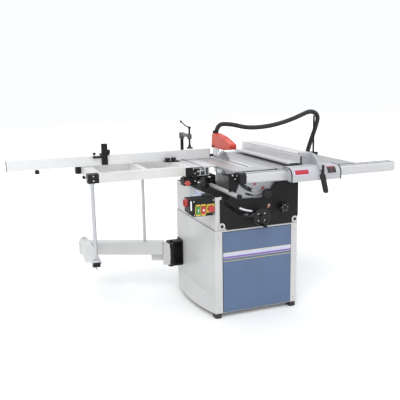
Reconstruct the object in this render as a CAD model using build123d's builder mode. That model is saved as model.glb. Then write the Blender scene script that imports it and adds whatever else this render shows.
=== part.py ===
"""Sliding-table panel saw: cabinet, tilting saw unit, tables, rip fence, slider with outrigger.

Millimetres. Coordinates are given from the front left floor corner of the cabinet: x to the right
along the front, y from the operator to the back, z up from the floor. MACHINE and the view planes
below carry them to the model's own frame, whose origin is on the floor under the middle.
"""
from build123d import *
import math
import os

os.makedirs("parts", exist_ok=True)

# ---------------------------------------------------------------- driving dimensions
TOP = 850
SHEET = 3
GAP = 0.3

CABINET_W, CABINET_D, CABINET_TOP = 525, 640, 520
FOOT_H = 30
SKIRT_TOP, SKIRT_BOW = 122, 48
HOUSING_X = (5, 527)
HOUSING_LEFT_TOP = 712
TABLE_UNDER = 833

TILT_X = 264
SAW_Y = 470
ARBOR_Z = TOP - 68
BLADE_R, BLADE_BODY = 125, 2.2
HANDWHEEL_DROP = 262
TRUNNION_R = 120

MAIN_X, MAIN_Y = (120, 372), (-12, 690)
EXT_X, EXT_Y = (375, 890), (-45, 800)
INSERT_X, INSERT_Y = (225, 303), (98, 674)
RAIL_X, RAIL_Y, RAIL_Z = (151, 1127), (-97, -55), (790, TOP)
CAP = 3

TUBE_X, TUBE_Z, TUBE_R = 86, 735, 13
TUBE_Y = (-140, 712)

SLIDER_X, SLIDER_Y, SLIDER_Z = (-32, 117), (237, 957), (795, TOP)
FRAME_X, FRAME_Z = (-637, -32), (798, TOP)
FENCE_X, FENCE_Y, FENCE_Z = (-1041, 200.5), (550, 575), (855, 913)
MITRE_AT = (-54, 520)
STOP_X = -475

HINGE, ELBOW, POST = (-75, 550), (-590, 790), (-612, 288)

BEAM_X = (545, 640)
LEVER_Y = (-160, -148)
HOSE_D = 30

ORIGIN_X = (FENCE_X[0] + RAIL_X[1]) / 2
ORIGIN_Y = (LEVER_Y[0] + SLIDER_Y[1]) / 2
MACHINE = Plane((-ORIGIN_X, -ORIGIN_Y, 0))


# ---------------------------------------------------------------- planes and small helpers
def level(z):
    """Horizontal plane at height z, seen from above."""
    return MACHINE.offset(z)


def front_view(y):
    """Upright plane at depth y: x to the right, z up, normal towards the operator."""
    return Plane(origin=(-ORIGIN_X, y - ORIGIN_Y, 0), x_dir=(1, 0, 0), z_dir=(0, -1, 0))


def side_view(x):
    """Upright plane at x: y to the right, z up, normal towards +X."""
    return Plane(origin=(x - ORIGIN_X, -ORIGIN_Y, 0), x_dir=(0, 1, 0), z_dir=(1, 0, 0))


def block(x, y, z, mode=Mode.ADD):
    """A box between the given (low, high) pairs."""
    with Locations(((x[0] + x[1]) / 2, (y[0] + y[1]) / 2, (z[0] + z[1]) / 2)):
        Box(x[1] - x[0], y[1] - y[0], z[1] - z[0], mode=mode)


def disc(plane, centre, radius, length, mode=Mode.ADD):
    """A cylinder that stands on a plane."""
    with BuildSketch(plane) as circle:
        with Locations(centre):
            Circle(radius)
    extrude(circle.sketch, amount=length, mode=mode)


def prism(plane, points, length, mode=Mode.ADD):
    """A straight-sided outline on a plane, extruded."""
    with BuildSketch(plane) as outline:
        with BuildLine():
            Polyline(*points, close=True)
        make_face()
    extrude(outline.sketch, amount=length, mode=mode)


def arc_band(y, radius, start, sweep, width, length, mode=Mode.SUBTRACT):
    """A round-ended band about the tilt axis, from depth y towards the operator."""
    middle_line = Edge.make_circle(radius, Plane.XY, start, start + sweep)
    with BuildSketch(front_view(y)) as band:
        with Locations((TILT_X, TOP)):
            SlotArc(middle_line, width)
    extrude(band.sketch, amount=length, mode=mode)


def slab(start, end, half_width, z, mode=Mode.ADD):
    """A straight bar seen from above, between two points, with the given heights."""
    run = Vector(end[0] - start[0], end[1] - start[1])
    angle = math.degrees(math.atan2(run.Y, run.X))
    middle = ((start[0] + end[0]) / 2, (start[1] + end[1]) / 2, (z[0] + z[1]) / 2)
    with Locations(Location(middle, (0, 0, angle))):
        Box(run.length, 2 * half_width, z[1] - z[0], mode=mode)


def tube(x, y, z, axis, wall=2.5):
    """A rectangular tube, open along the given axis (0 for x, 1 for y)."""
    block(x, y, z)
    inner = [(low + wall, high - wall) for low, high in (x, y, z)]
    inner[axis] = ((x, y)[axis][0] - 1, (x, y)[axis][1] + 1)
    block(*inner, mode=Mode.SUBTRACT)


def star(plane, centre, radius, length):
    """A six-lobed grip."""
    with BuildSketch(plane) as lobes:
        with Locations(centre):
            Circle(radius * 0.72)
            with PolarLocations(radius * 0.68, 6):
                Circle(radius * 0.32)
    extrude(lobes.sketch, amount=length)


# ---------------------------------------------------------------- cabinet
with BuildPart(MACHINE) as cabinet_shell:
    block((0, CABINET_W), (0, CABINET_D), (FOOT_H, CABINET_TOP))
    block((SHEET, CABINET_W - SHEET), (SHEET, CABINET_D - SHEET), (FOOT_H + SHEET, 600), Mode.SUBTRACT)
    for lip_y in ((SHEET, 20), (CABINET_D - 20, CABINET_D - SHEET)):
        block((SHEET, CABINET_W - SHEET), lip_y, (CABINET_TOP - SHEET, CABINET_TOP))
    for skirt_z, bow in ((FOOT_H, SKIRT_BOW), (SKIRT_TOP, 1.5)):
        with BuildSketch(level(skirt_z)):
            with BuildLine():
                ThreePointArc((0, 12), (-bow, 330), (0, CABINET_D))
                Line((0, CABINET_D), (0, 12))
            make_face()
    loft()
cabinet_shell.part.label = "cabinet_shell"
export_step(cabinet_shell.part, "parts/cabinet_shell.step")

with BuildPart(MACHINE) as cabinet_door:
    block((50, 482), (-SHEET, 0), (34, 508))
    fillet(cabinet_door.edges().filter_by(Axis.Y), 5)
cabinet_door.part.label = "cabinet_door"
export_step(cabinet_door.part, "parts/cabinet_door.step")

with BuildPart(MACHINE) as rubber_feet:
    for foot_x in (22, CABINET_W - 22):
        for foot_y in (28, CABINET_D - 28):
            with Locations((foot_x, foot_y, FOOT_H / 2)):
                Box(40, 50, FOOT_H)
    fillet(rubber_feet.edges().filter_by(Axis.Z), 8)
rubber_feet.part.label = "rubber_feet"
export_step(rubber_feet.part, "parts/rubber_feet.step")

with BuildPart(MACHINE) as dust_port:
    port_x = 330
    block((port_x - 75, port_x + 75), (CABINET_D, CABINET_D + 60), (250, 400))
    block((port_x - 71, port_x + 71), (CABINET_D - 1, CABINET_D + 56), (254, 396), Mode.SUBTRACT)
    disc(front_view(CABINET_D + 120), (port_x, 325), 50, 60)
    disc(front_view(CABINET_D + 121), (port_x, 325), 47, 66, Mode.SUBTRACT)
    disc(level(400), (port_x + 45, CABINET_D + 32), HOSE_D / 2, 40)
    disc(level(395), (port_x + 45, CABINET_D + 32), HOSE_D / 2 - 3, 50, Mode.SUBTRACT)
dust_port.part.label = "dust_port"
export_step(dust_port.part, "parts/dust_port.step")

# ---------------------------------------------------------------- upper housing
with BuildPart(MACHINE) as upper_housing:
    left, right = HOUSING_X
    housing_z = (CABINET_TOP, TABLE_UNDER)
    block((left, right), (0, CABINET_D), housing_z)
    block(
        (left + SHEET, right - SHEET),
        (SHEET, CABINET_D - SHEET),
        (CABINET_TOP - 1, TABLE_UNDER + 1),
        Mode.SUBTRACT,
    )
    block((left - 1, left + SHEET), (-1, CABINET_D + 1), (HOUSING_LEFT_TOP, 900), Mode.SUBTRACT)
    block((left - 1, 400), (-1, SHEET), (HOUSING_LEFT_TOP, 900), Mode.SUBTRACT)
    block((45, 480), (-1, SHEET), (560, 900), Mode.SUBTRACT)
    block((left - 1, 300), (CABINET_D - SHEET, CABINET_D + 1), (770, 900), Mode.SUBTRACT)
    block((left - 1, 112), (CABINET_D - SHEET, CABINET_D + 1), (HOUSING_LEFT_TOP, 800), Mode.SUBTRACT)
    block((110, 282), (CABINET_D - SHEET, CABINET_D + 1), (680, 780), Mode.SUBTRACT)
upper_housing.part.label = "upper_housing"
export_step(upper_housing.part, "parts/upper_housing.step")

with BuildPart(MACHINE) as front_plate:
    prism(
        front_view(0),
        [
            (33, 697),
            (292, 688),
            (328, 700),
            (377, 775),
            (527, 768),
            (527, 564),
            (484, 521),
            (76, 521),
            (33, 564),
        ],
        4,
    )
    fillet(front_plate.edges().filter_by(Axis.Y), 6)
    arc_band(1, HANDWHEEL_DROP, 221, 50, 22, 6)
    disc(front_view(1), (417, 625), 6.5, 6, Mode.SUBTRACT)
front_plate.part.label = "front_plate"
export_step(front_plate.part, "parts/front_plate.step")

RISE_LOCK_AT = (TILT_X + 53, TOP - 139)
RISE_LOCK_R = math.hypot(RISE_LOCK_AT[0] - TILT_X, TOP - RISE_LOCK_AT[1])
with BuildPart(MACHINE) as trunnion_brackets:
    prism(
        front_view(18),
        [(140, 682), (300, 682), (385, 762), (420, 762), (420, TABLE_UNDER), (140, TABLE_UNDER)],
        8,
    )
    arc_band(19, TRUNNION_R, 216, 63, 24, 10)
    arc_band(19, RISE_LOCK_R, 244, 49, 12, 10)
    prism(
        front_view(568),
        [(276, 714), (340, 714), (400, 770), (400, TABLE_UNDER), (276, TABLE_UNDER)],
        8,
    )
    arc_band(569, TRUNNION_R, 284, 50, 14, 10)
trunnion_brackets.part.label = "trunnion_brackets"
export_step(trunnion_brackets.part, "parts/trunnion_brackets.step")

# ---------------------------------------------------------------- tables
with BuildPart(MACHINE) as main_table:
    plate_under = TOP - 8
    block(MAIN_X, MAIN_Y, (TABLE_UNDER, TOP))
    block(
        (MAIN_X[0] + 10, MAIN_X[1] - 10),
        (MAIN_Y[0] + 32, MAIN_Y[1] - 66),
        (TABLE_UNDER - 1, plate_under),
        Mode.SUBTRACT,
    )
    block((230, 298), (100, 666), (TABLE_UNDER - 1, TOP + 1), Mode.SUBTRACT)
    block(INSERT_X, INSERT_Y, (TOP - 3, TOP + 1), Mode.SUBTRACT)
main_table.part.label = "main_table"
export_step(main_table.part, "parts/main_table.step")

with BuildPart(MACHINE) as table_insert:
    fit = 0.4
    block(
        (INSERT_X[0] + fit, INSERT_X[1] - fit),
        (INSERT_Y[0] + fit, INSERT_Y[1] - fit),
        (TOP - 3, TOP),
    )
    block((TILT_X - 9, TILT_X + 5), (112, 662), (TOP - 4, TOP + 1), Mode.SUBTRACT)
table_insert.part.label = "table_insert"
export_step(table_insert.part, "parts/table_insert.step")

with BuildPart(MACHINE) as extension_table:
    block(EXT_X, EXT_Y, (TABLE_UNDER, TOP))
    for bay in range(4):
        bay_y = EXT_Y[0] + 6 + bay * 210
        block((EXT_X[0] + 5, EXT_X[1] - 5), (bay_y, bay_y + 203), (TABLE_UNDER - 1, TOP - 6), Mode.SUBTRACT)
extension_table.part.label = "extension_table"
export_step(extension_table.part, "parts/extension_table.step")

# ---------------------------------------------------------------- rip rail, guide tube, brackets
rail_middle = ((RAIL_Y[0] + RAIL_Y[1]) / 2, (RAIL_Z[0] + RAIL_Z[1]) / 2)
rail_size = (RAIL_Y[1] - RAIL_Y[0], RAIL_Z[1] - RAIL_Z[0])

with BuildPart(MACHINE) as rip_rail:
    with BuildSketch(side_view(RAIL_X[0])):
        with Locations(rail_middle):
            RectangleRounded(rail_size[0], rail_size[1], 19)
            RectangleRounded(rail_size[0] - 8, rail_size[1] - 8, 15, mode=Mode.SUBTRACT)
    extrude(amount=RAIL_X[1] - RAIL_X[0])
    with BuildSketch(side_view(RAIL_X[1])):
        with Locations(rail_middle):
            RectangleRounded(rail_size[0], rail_size[1], 19)
    extrude(amount=CAP)
rip_rail.part.label = "rip_rail"
export_step(rip_rail.part, "parts/rip_rail.step")

with BuildPart(MACHINE) as end_caps:
    with BuildSketch(side_view(RAIL_X[0])):
        with Locations(rail_middle):
            RectangleRounded(rail_size[0] + 3, rail_size[1] + 3, 20)
    extrude(amount=-34)
    fillet(end_caps.faces().sort_by(Axis.X)[0].edges(), 8)
    disc(front_view(TUBE_Y[0]), (TUBE_X, TUBE_Z), TUBE_R + 1.5, 10)
end_caps.part.label = "end_caps"
export_step(end_caps.part, "parts/end_caps.step")

with BuildPart(MACHINE) as guide_tube:
    disc(front_view(TUBE_Y[1]), (TUBE_X, TUBE_Z), TUBE_R, TUBE_Y[1] - TUBE_Y[0])
    disc(front_view(TUBE_Y[1]), (TUBE_X, TUBE_Z), TUBE_R - 3, TUBE_Y[1] - TUBE_Y[0], Mode.SUBTRACT)
guide_tube.part.label = "guide_tube"
export_step(guide_tube.part, "parts/guide_tube.step")

with BuildPart(MACHINE) as table_brackets:
    prism(
        front_view(-36),
        [(71, 754), (76, 742), (106, 732), (113, 738), (142, 816), (142, 846), (71, 846)],
        9,
    )
    block((124, 142), (-36, MAIN_Y[0]), (822, 844))
    prism(
        front_view(699),
        [(63, 718), (112, 718), (158, 790), (158, 845), (124, 845), (120, 788), (63, 785)],
        9,
    )
    disc(front_view(700), (TUBE_X, TUBE_Z), TUBE_R, 800, Mode.SUBTRACT)
    for bracket_x, table_front in ((190, MAIN_Y[0]), (330, MAIN_Y[0]), (450, EXT_Y[0]), (820, EXT_Y[0])):
        block((bracket_x, bracket_x + 24), (RAIL_Y[1], table_front), (812, 846))
table_brackets.part.label = "table_brackets"
export_step(table_brackets.part, "parts/table_brackets.step")

# ---------------------------------------------------------------- switchgear
BOX_X, BOX_Y, BOX_Z = (-146, 5), (0, 75), (615, 715)
with BuildPart(MACHINE) as switch_box:
    prism(
        front_view(BOX_Y[1]),
        [
            (BOX_X[0], BOX_Z[1]),
            (BOX_X[1], BOX_Z[1]),
            (BOX_X[1], BOX_Z[0]),
            (BOX_X[0] + 24, BOX_Z[0]),
            (BOX_X[0], BOX_Z[0] + 24),
        ],
        BOX_Y[1] - BOX_Y[0],
    )
    fillet(switch_box.edges().filter_by(Axis.Y), 5)
    block((-50, -6), (BOX_Y[0] + 6, BOX_Y[1] - 10), (BOX_Z[1], BOX_Z[1] + 14))
    for button_x in (-95, -64):
        block((button_x - 12.5, button_x + 12.5), (BOX_Y[0] - 1, BOX_Y[0] + 14), (629, 671), Mode.SUBTRACT)
    disc(front_view(BOX_Y[0] + 24), (-22, 655), 10, 30, Mode.SUBTRACT)
switch_box.part.label = "switch_box"
export_step(switch_box.part, "parts/switch_box.step")

with BuildPart(MACHINE) as mains_inlet:
    disc(side_view(BOX_X[0]), (40, 690), 22, -14)
    disc(side_view(BOX_X[0] - 4), (40, 690), 18, -30, Mode.SUBTRACT)
    with BuildSketch(side_view(BOX_X[0] - 4)):
        with Locations((40, 690)):
            with PolarLocations(9, 5):
                Circle(2.4)
    extrude(amount=-8)
mains_inlet.part.label = "mains_inlet"
export_step(mains_inlet.part, "parts/mains_inlet.step")

for button_name, button_x in (("start_button", -95), ("stop_button", -64)):
    with BuildPart(MACHINE) as push_button:
        block((button_x - 12, button_x + 12), (BOX_Y[0] - 7, BOX_Y[0] + 8), (630, 670))
        fillet(push_button.faces().sort_by(Axis.Y)[0].edges(), 2)
    push_button.part.label = button_name
    export_step(push_button.part, f"parts/{button_name}.step")

with BuildPart(MACHINE) as emergency_button:
    disc(front_view(BOX_Y[0] + 16), (-22, 655), 9.5, 24)
    disc(front_view(BOX_Y[0] - 8), (-22, 655), 19, 18)
    fillet(emergency_button.faces().sort_by(Axis.Y)[0].edges(), 6)
emergency_button.part.label = "emergency_button"
export_step(emergency_button.part, "parts/emergency_button.step")

# ---------------------------------------------------------------- tilting unit
WHEEL_AT = (TILT_X, TOP - HANDWHEEL_DROP)
SCREW_AT = (TILT_X, 125)
FRAME_PLATE = (TILT_X + 70, TILT_X + 80)
FLOOR_Z = (TOP - 298, TOP - 286)

with BuildPart(MACHINE) as tilt_frame:
    front_x = (TILT_X - 17, FRAME_PLATE[1])
    block(front_x, (22, 32), (FLOOR_Z[0], TOP - 105))
    block(FRAME_PLATE, (32, 556), (FLOOR_Z[0], TOP - 45))
    block(FRAME_PLATE, (31, 155), (TOP - 225, 900), Mode.SUBTRACT)
    block(FRAME_PLATE, (SAW_Y - 32, SAW_Y + 32), (TOP - 234, 900), Mode.SUBTRACT)
    block((TILT_X - 17, FRAME_PLATE[1]), (32, 150), FLOOR_Z)
    block((FRAME_PLATE[1], TILT_X + 122), (548, 556), (TOP - 108, TOP - 46))
    arc_band(22, TRUNNION_R, 262, 16, 23.4, 9, Mode.ADD)
    arc_band(548, TRUNNION_R, 329, 4, 13.4, -19, Mode.ADD)
    disc(front_view(33), WHEEL_AT, 7.05, 12, Mode.SUBTRACT)
    disc(level(FLOOR_Z[0] - 1), SCREW_AT, 6.05, 14, Mode.SUBTRACT)
tilt_frame.part.label = "tilt_frame"
export_step(tilt_frame.part, "parts/tilt_frame.step")

with BuildPart(MACHINE) as rise_lock_knob:
    disc(front_view(21.7), RISE_LOCK_AT, 5, 32)
    disc(front_view(-10), RISE_LOCK_AT, 27, 22)
    fillet(rise_lock_knob.faces().sort_by(Axis.Y)[0].edges(), 6)
rise_lock_knob.part.label = "rise_lock_knob"
export_step(rise_lock_knob.part, "parts/rise_lock_knob.step")

with BuildPart(MACHINE) as tilt_lock_knob:
    disc(front_view(12), (417, 625), 6, 26)
    disc(front_view(-10), (417, 625), 13, 12)
    star(front_view(-22), (417, 625), 30, 26)
tilt_lock_knob.part.label = "tilt_lock_knob"
export_step(tilt_lock_knob.part, "parts/tilt_lock_knob.step")

with BuildPart(MACHINE) as handwheel:
    with BuildSketch(front_view(-54)):
        with Locations(WHEEL_AT):
            Circle(52)
            with PolarLocations(28, 4, start_angle=45):
                SlotOverall(22, 15, rotation=90, mode=Mode.SUBTRACT)
    extrude(amount=12)
    fillet(handwheel.edges().filter_by(GeomType.CIRCLE).sort_by(SortBy.RADIUS)[-2:], 4)
    disc(front_view(-34), WHEEL_AT, 17, 20)
    disc(front_view(-66), WHEEL_AT, 15, 6)
    disc(front_view(-30), WHEEL_AT, 7, 50, Mode.SUBTRACT)
handwheel.part.label = "handwheel"
export_step(handwheel.part, "parts/handwheel.step")

with BuildPart(MACHINE) as handwheel_shaft:
    disc(front_view(108), WHEEL_AT, 7, 178)
    for gear_y, gear_r in ((90, 20), (102, 10)):
        with BuildSketch(front_view(gear_y)):
            with Locations(WHEEL_AT):
                Circle(gear_r)
    loft()
handwheel_shaft.part.label = "handwheel_shaft"
export_step(handwheel_shaft.part, "parts/handwheel_shaft.step")

CRANK_AT = (TILT_X, WHEEL_AT[1] - 42)
with BuildPart(MACHINE) as crank_knob:
    disc(front_view(-66.2), CRANK_AT, 6, 6)
    for knob_y, knob_r in ((-72, 7), (-112, 9.5)):
        with BuildSketch(front_view(knob_y)):
            with Locations(CRANK_AT):
                Circle(knob_r)
    loft()
    fillet(crank_knob.faces().sort_by(Axis.Y)[0].edges(), 5)
crank_knob.part.label = "crank_knob"
export_step(crank_knob.part, "parts/crank_knob.step")

with BuildPart(MACHINE) as height_screw:
    disc(level(FLOOR_Z[0]), SCREW_AT, 6, 14)
    disc(level(FLOOR_Z[1] + GAP), SCREW_AT, 8, 210)
    for gear_z, gear_r in ((FLOOR_Z[1] + GAP, 14), (FLOOR_Z[1] + 9, 10)):
        with BuildSketch(level(gear_z)):
            with Locations(SCREW_AT):
                Circle(gear_r)
    loft()
height_screw.part.label = "height_screw"
export_step(height_screw.part, "parts/height_screw.step")

# ---------------------------------------------------------------- rising saw unit
RISER_X = (FRAME_PLATE[1] + GAP, TILT_X + 92)
MOTOR_AT = (SAW_Y - 115, ARBOR_Z - 70)
BELT_X = (TILT_X + 97, TILT_X + 109)
ARBOR_AT = (SAW_Y, ARBOR_Z)

with BuildPart(MACHINE) as arbor_housing:
    block(RISER_X, (MOTOR_AT[0] - 72, SAW_Y + 68), (ARBOR_Z - 150, ARBOR_Z + 12))
    disc(side_view(TILT_X + 14), ARBOR_AT, 24, RISER_X[1] - TILT_X - 14)
    disc(side_view(TILT_X + 13), ARBOR_AT, 10.05, 90, Mode.SUBTRACT)
    block(RISER_X, (110, MOTOR_AT[0] - 71), (ARBOR_Z - 84, ARBOR_Z - 62))
    block((TILT_X - 15, RISER_X[1]), (110, 140), (ARBOR_Z - 84, ARBOR_Z - 62))
    disc(level(ARBOR_Z - 85), SCREW_AT, 8.05, 24, Mode.SUBTRACT)
    block(RISER_X, (SAW_Y + 67, 632), (ARBOR_Z - 107, ARBOR_Z - 84))
    block(RISER_X, (606, 632), (ARBOR_Z - 107, ARBOR_Z - 10))
    block((TILT_X + 1.1, RISER_X[1]), (606, 632), (ARBOR_Z - 32, ARBOR_Z - 10))
    disc(side_view(RISER_X[0] - 1), MOTOR_AT, 16, 14, Mode.SUBTRACT)
arbor_housing.part.label = "arbor_housing"
export_step(arbor_housing.part, "parts/arbor_housing.step")

MOTOR_R = 62
MOTOR_LENGTH = 112
with BuildPart(MACHINE) as motor:
    motor_x = TILT_X + 116
    motor_y, motor_z = MOTOR_AT
    disc(side_view(motor_x), MOTOR_AT, MOTOR_R, MOTOR_LENGTH)
    with BuildSketch(side_view(motor_x + 14)):
        with Locations(MOTOR_AT):
            with PolarLocations(MOTOR_R + 1, 28):
                Rectangle(8, 2.4)
    extrude(amount=78)
    block((motor_x + 30, motor_x + 84), (motor_y - 84, motor_y - 58), (motor_z - 28, motor_z + 28))
    block((RISER_X[1], motor_x), (motor_y - 58, motor_y - 48), (motor_z - 16, motor_z + 16))
    block((RISER_X[1], motor_x), (motor_y - 16, motor_y + 16), (motor_z - 58, motor_z - 48))
    disc(side_view(motor_x - 1), MOTOR_AT, 8.05, 40, Mode.SUBTRACT)
motor.part.label = "motor"
export_step(motor.part, "parts/motor.step")

with BuildPart(MACHINE) as drive_belt:
    for belt_offset, belt_mode in ((5, Mode.ADD), (1, Mode.SUBTRACT)):
        with BuildSketch(side_view(BELT_X[0])):
            with Locations(ARBOR_AT):
                Circle(22 + belt_offset)
            with Locations(MOTOR_AT):
                Circle(34 + belt_offset)
            make_hull()
        extrude(amount=BELT_X[1] - BELT_X[0], mode=belt_mode)
drive_belt.part.label = "drive_belt"
export_step(drive_belt.part, "parts/drive_belt.step")

with BuildPart(MACHINE) as motor_pulley:
    disc(side_view(BELT_X[0] - 1), MOTOR_AT, 34.5, BELT_X[1] - BELT_X[0] + 2)
    disc(side_view(BELT_X[0] - 3), MOTOR_AT, 37, 2)
    disc(side_view(BELT_X[1] + 1), MOTOR_AT, 37, 2)
    disc(side_view(BELT_X[0] - 3), MOTOR_AT, 8, 52)
motor_pulley.part.label = "motor_pulley"
export_step(motor_pulley.part, "parts/motor_pulley.step")

with BuildPart(MACHINE) as saw_arbor:
    disc(side_view(TILT_X - 14), ARBOR_AT, 10, 130)
    disc(side_view(TILT_X + BLADE_BODY / 2), ARBOR_AT, 26, 6)
    disc(side_view(TILT_X - BLADE_BODY / 2 - 5), ARBOR_AT, 20, 5)
    with BuildSketch(side_view(TILT_X - 14)):
        with Locations(ARBOR_AT):
            RegularPolygon(13, 6)
    extrude(amount=8)
    disc(side_view(BELT_X[0] - 1), ARBOR_AT, 22.5, BELT_X[1] - BELT_X[0] + 2)
    disc(side_view(TILT_X - BLADE_BODY / 2), ARBOR_AT, 60, BLADE_BODY, Mode.SUBTRACT)
    disc(side_view(TILT_X - BLADE_BODY / 2), ARBOR_AT, 10, BLADE_BODY)
saw_arbor.part.label = "saw_arbor"
export_step(saw_arbor.part, "parts/saw_arbor.step")

TEETH = 24
with BuildPart(MACHINE) as saw_blade:
    tooth_shape = ((0, BLADE_R), (0.28, BLADE_R - 11), (0.72, BLADE_R - 4))
    rim = []
    for tooth in range(TEETH):
        for share, radius in tooth_shape:
            angle = 2 * math.pi * (tooth + share) / TEETH
            rim.append((SAW_Y + radius * math.cos(angle), ARBOR_Z + radius * math.sin(angle)))
    prism(side_view(TILT_X - BLADE_BODY / 2), rim, BLADE_BODY)
    disc(side_view(TILT_X - BLADE_BODY / 2), ARBOR_AT, 10, BLADE_BODY, Mode.SUBTRACT)
saw_blade.part.label = "saw_blade"
export_step(saw_blade.part, "parts/saw_blade.step")

with BuildPart(MACHINE) as blade_shroud:
    disc(side_view(TILT_X - 20), ARBOR_AT, 138, 44)
    disc(side_view(TILT_X - 17.5), ARBOR_AT, 135, 39, Mode.SUBTRACT)
    block((TILT_X - 30, TILT_X + 30), (300, 620), (ARBOR_Z - 24, 960), Mode.SUBTRACT)
    block((TILT_X - 30, TILT_X + 30), (SAW_Y + 84, 620), (ARBOR_Z - 100, 960), Mode.SUBTRACT)
    disc(side_view(TILT_X + 10), ARBOR_AT, 27, 20, Mode.SUBTRACT)
    for stay_y in (SAW_Y - 26, SAW_Y + 14):
        block((TILT_X + 24, RISER_X[0]), (stay_y, stay_y + 12), (ARBOR_Z - 80, ARBOR_Z - 68))
blade_shroud.part.label = "blade_shroud"
export_step(blade_shroud.part, "parts/blade_shroud.step")

GUARD_BOLT_AT = (590, 922)
KNIFE_R = 132


def at_blade(radius, angle):
    """Place (y, z) at a radius and an angle in degrees about the blade's axis."""
    return (SAW_Y + radius * math.cos(math.radians(angle)), ARBOR_Z + radius * math.sin(math.radians(angle)))


with BuildPart(MACHINE) as riving_knife:
    with BuildSketch(side_view(TILT_X - 1.1)):
        with BuildLine():
            CenterArc(ARBOR_AT, KNIFE_R, -13, 72)
            knife_top = at_blade(KNIFE_R, 59)
            knife_foot = at_blade(KNIFE_R, -13)
            Line(knife_top, (560, 918))
            Line((560, 918), (572, 932))
            Line((572, 932), (606, 932))
            ThreePointArc((606, 932), (642, 895), (652, 852))
            ThreePointArc((652, 852), (640, 800), (632, knife_foot[1]))
            Line((632, knife_foot[1]), knife_foot)
        make_face()
    extrude(amount=2.2)
    disc(side_view(TILT_X - 2), GUARD_BOLT_AT, 4, 4, Mode.SUBTRACT)
riving_knife.part.label = "riving_knife"
export_step(riving_knife.part, "parts/riving_knife.step")

# ---------------------------------------------------------------- blade guard and hose
GUARD_HALF, GUARD_WALL = 22, 3
HOSE_START = (TILT_X, 598)
SOCKET_Z = (940, 1006)


def guard_body(inset, mode):
    """The guard's side outline, drawn in by the inset and as wide as that leaves."""
    with BuildSketch(side_view(TILT_X - GUARD_HALF + inset)) as side:
        with BuildLine():
            Line((620, 912), (608, 996))
            ThreePointArc((608, 996), (594, 1002), (572, 1005))
            ThreePointArc((572, 1005), (450, 989), (340, 960))
            ThreePointArc((340, 960), (324, 942), (338, 924))
            Polyline((338, 924), (400, 915), (620, 912))
        make_face()
        if inset:
            offset(amount=-inset, mode=Mode.REPLACE)
    extrude(side.sketch, amount=2 * (GUARD_HALF - inset), mode=mode)


with BuildPart(MACHINE) as blade_guard:
    guard_body(0, Mode.ADD)
    guard_body(GUARD_WALL, Mode.SUBTRACT)
    block((TILT_X - 14, TILT_X + 14), (346, 540), (900, 926), Mode.SUBTRACT)
    block((TILT_X - 4, TILT_X + 4), (539, 640), (900, 936), Mode.SUBTRACT)
    disc(level(SOCKET_Z[0]), HOSE_START, HOSE_D / 2 + 3.8, SOCKET_Z[1] - SOCKET_Z[0])
    disc(level(SOCKET_Z[0] + 2), HOSE_START, HOSE_D / 2 + 0.8, 80, Mode.SUBTRACT)
    disc(side_view(TILT_X - 40), GUARD_BOLT_AT, 4, 80, Mode.SUBTRACT)
blade_guard.part.label = "blade_guard"
export_step(blade_guard.part, "parts/blade_guard.step")

with BuildPart(MACHINE) as guard_fittings:
    disc(side_view(TILT_X - GUARD_HALF - 5), GUARD_BOLT_AT, 4, 2 * GUARD_HALF + 10)
    for head_x in (TILT_X - GUARD_HALF - 5, TILT_X + GUARD_HALF):
        disc(side_view(head_x), GUARD_BOLT_AT, 8, 5)
    disc(level(SOCKET_Z[1]), HOSE_START, HOSE_D / 2 + 4.5, 14)
    disc(level(SOCKET_Z[1]), HOSE_START, HOSE_D / 2 + 0.8, 14, Mode.SUBTRACT)
guard_fittings.part.label = "guard_fittings"
export_step(guard_fittings.part, "parts/guard_fittings.step")

HOSE_ROUTE = [
    (264, 598, 960),
    (264, 598, 1062),
    (352, 546, 1062),
    (440, 508, 1036),
    (565, 494, 1037),
    (690, 488, 1058),
    (805, 468, 1098),
    (880, 450, 1134),
    (938, 447, 1100),
    (930, 462, 1030),
    (917, 490, 950),
    (911, 525, 870),
    (914, 560, 790),
    (890, 612, 735),
    (815, 668, 712),
    (705, 705, 705),
    (590, 722, 680),
    (480, 725, 625),
    (400, 702, 560),
    (375, 672, 500),
    (375, 672, 440),
]


def bend_radii(route):
    """The largest tangent arc that each corner of a route leaves room for."""
    points = [Vector(*point) for point in route]
    radii = []
    for before, corner, after in zip(points, points[1:], points[2:]):
        turn = math.radians((corner - before).get_angle(after - corner))
        shorter = min((corner - before).length, (after - corner).length)
        radii.append(0.45 * shorter / math.tan(turn / 2))
    return radii


hose_points = [(x - ORIGIN_X, y - ORIGIN_Y, z) for x, y, z in HOSE_ROUTE]
hose_radii = bend_radii(HOSE_ROUTE)
with BuildPart() as suction_hose:
    with BuildLine() as hose_path:
        FilletPolyline(*hose_points, radius=hose_radii)
    with BuildSketch(Plane(hose_points[0])):
        Circle(HOSE_D / 2)
    sweep()
suction_hose.part.label = "suction_hose"
export_step(suction_hose.part, "parts/suction_hose.step")
hose_length = hose_path.wires()[0].length
swept_volume = hose_length * math.pi * (HOSE_D / 2) ** 2
print("hose radii", [round(radius) for radius in hose_radii])
print("hose length", round(hose_length), "volume ratio", round(suction_hose.part.volume / swept_volume, 4))

POST_AT = (902, 445)
with BuildPart(MACHINE) as hose_post:
    block((868, 912), (POST_AT[1] - 20, POST_AT[1] + 20), (TOP, TOP + 10))
    block((EXT_X[1], 912), (POST_AT[1] - 20, POST_AT[1] + 20), (822, TOP))
    block((870, EXT_X[1]), (POST_AT[1] - 20, POST_AT[1] + 20), (822, TABLE_UNDER))
    disc(level(TOP + 10), POST_AT, 6, 234)
    disc(level(TOP + 244), POST_AT, 8, 5)
    disc(front_view(POST_AT[1] - 20), (900, TOP + 5), 4, 16)
    with Locations((900, POST_AT[1] - 42, TOP + 5)):
        Sphere(11)
hose_post.part.label = "hose_post"
export_step(hose_post.part, "parts/hose_post.step")

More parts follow.
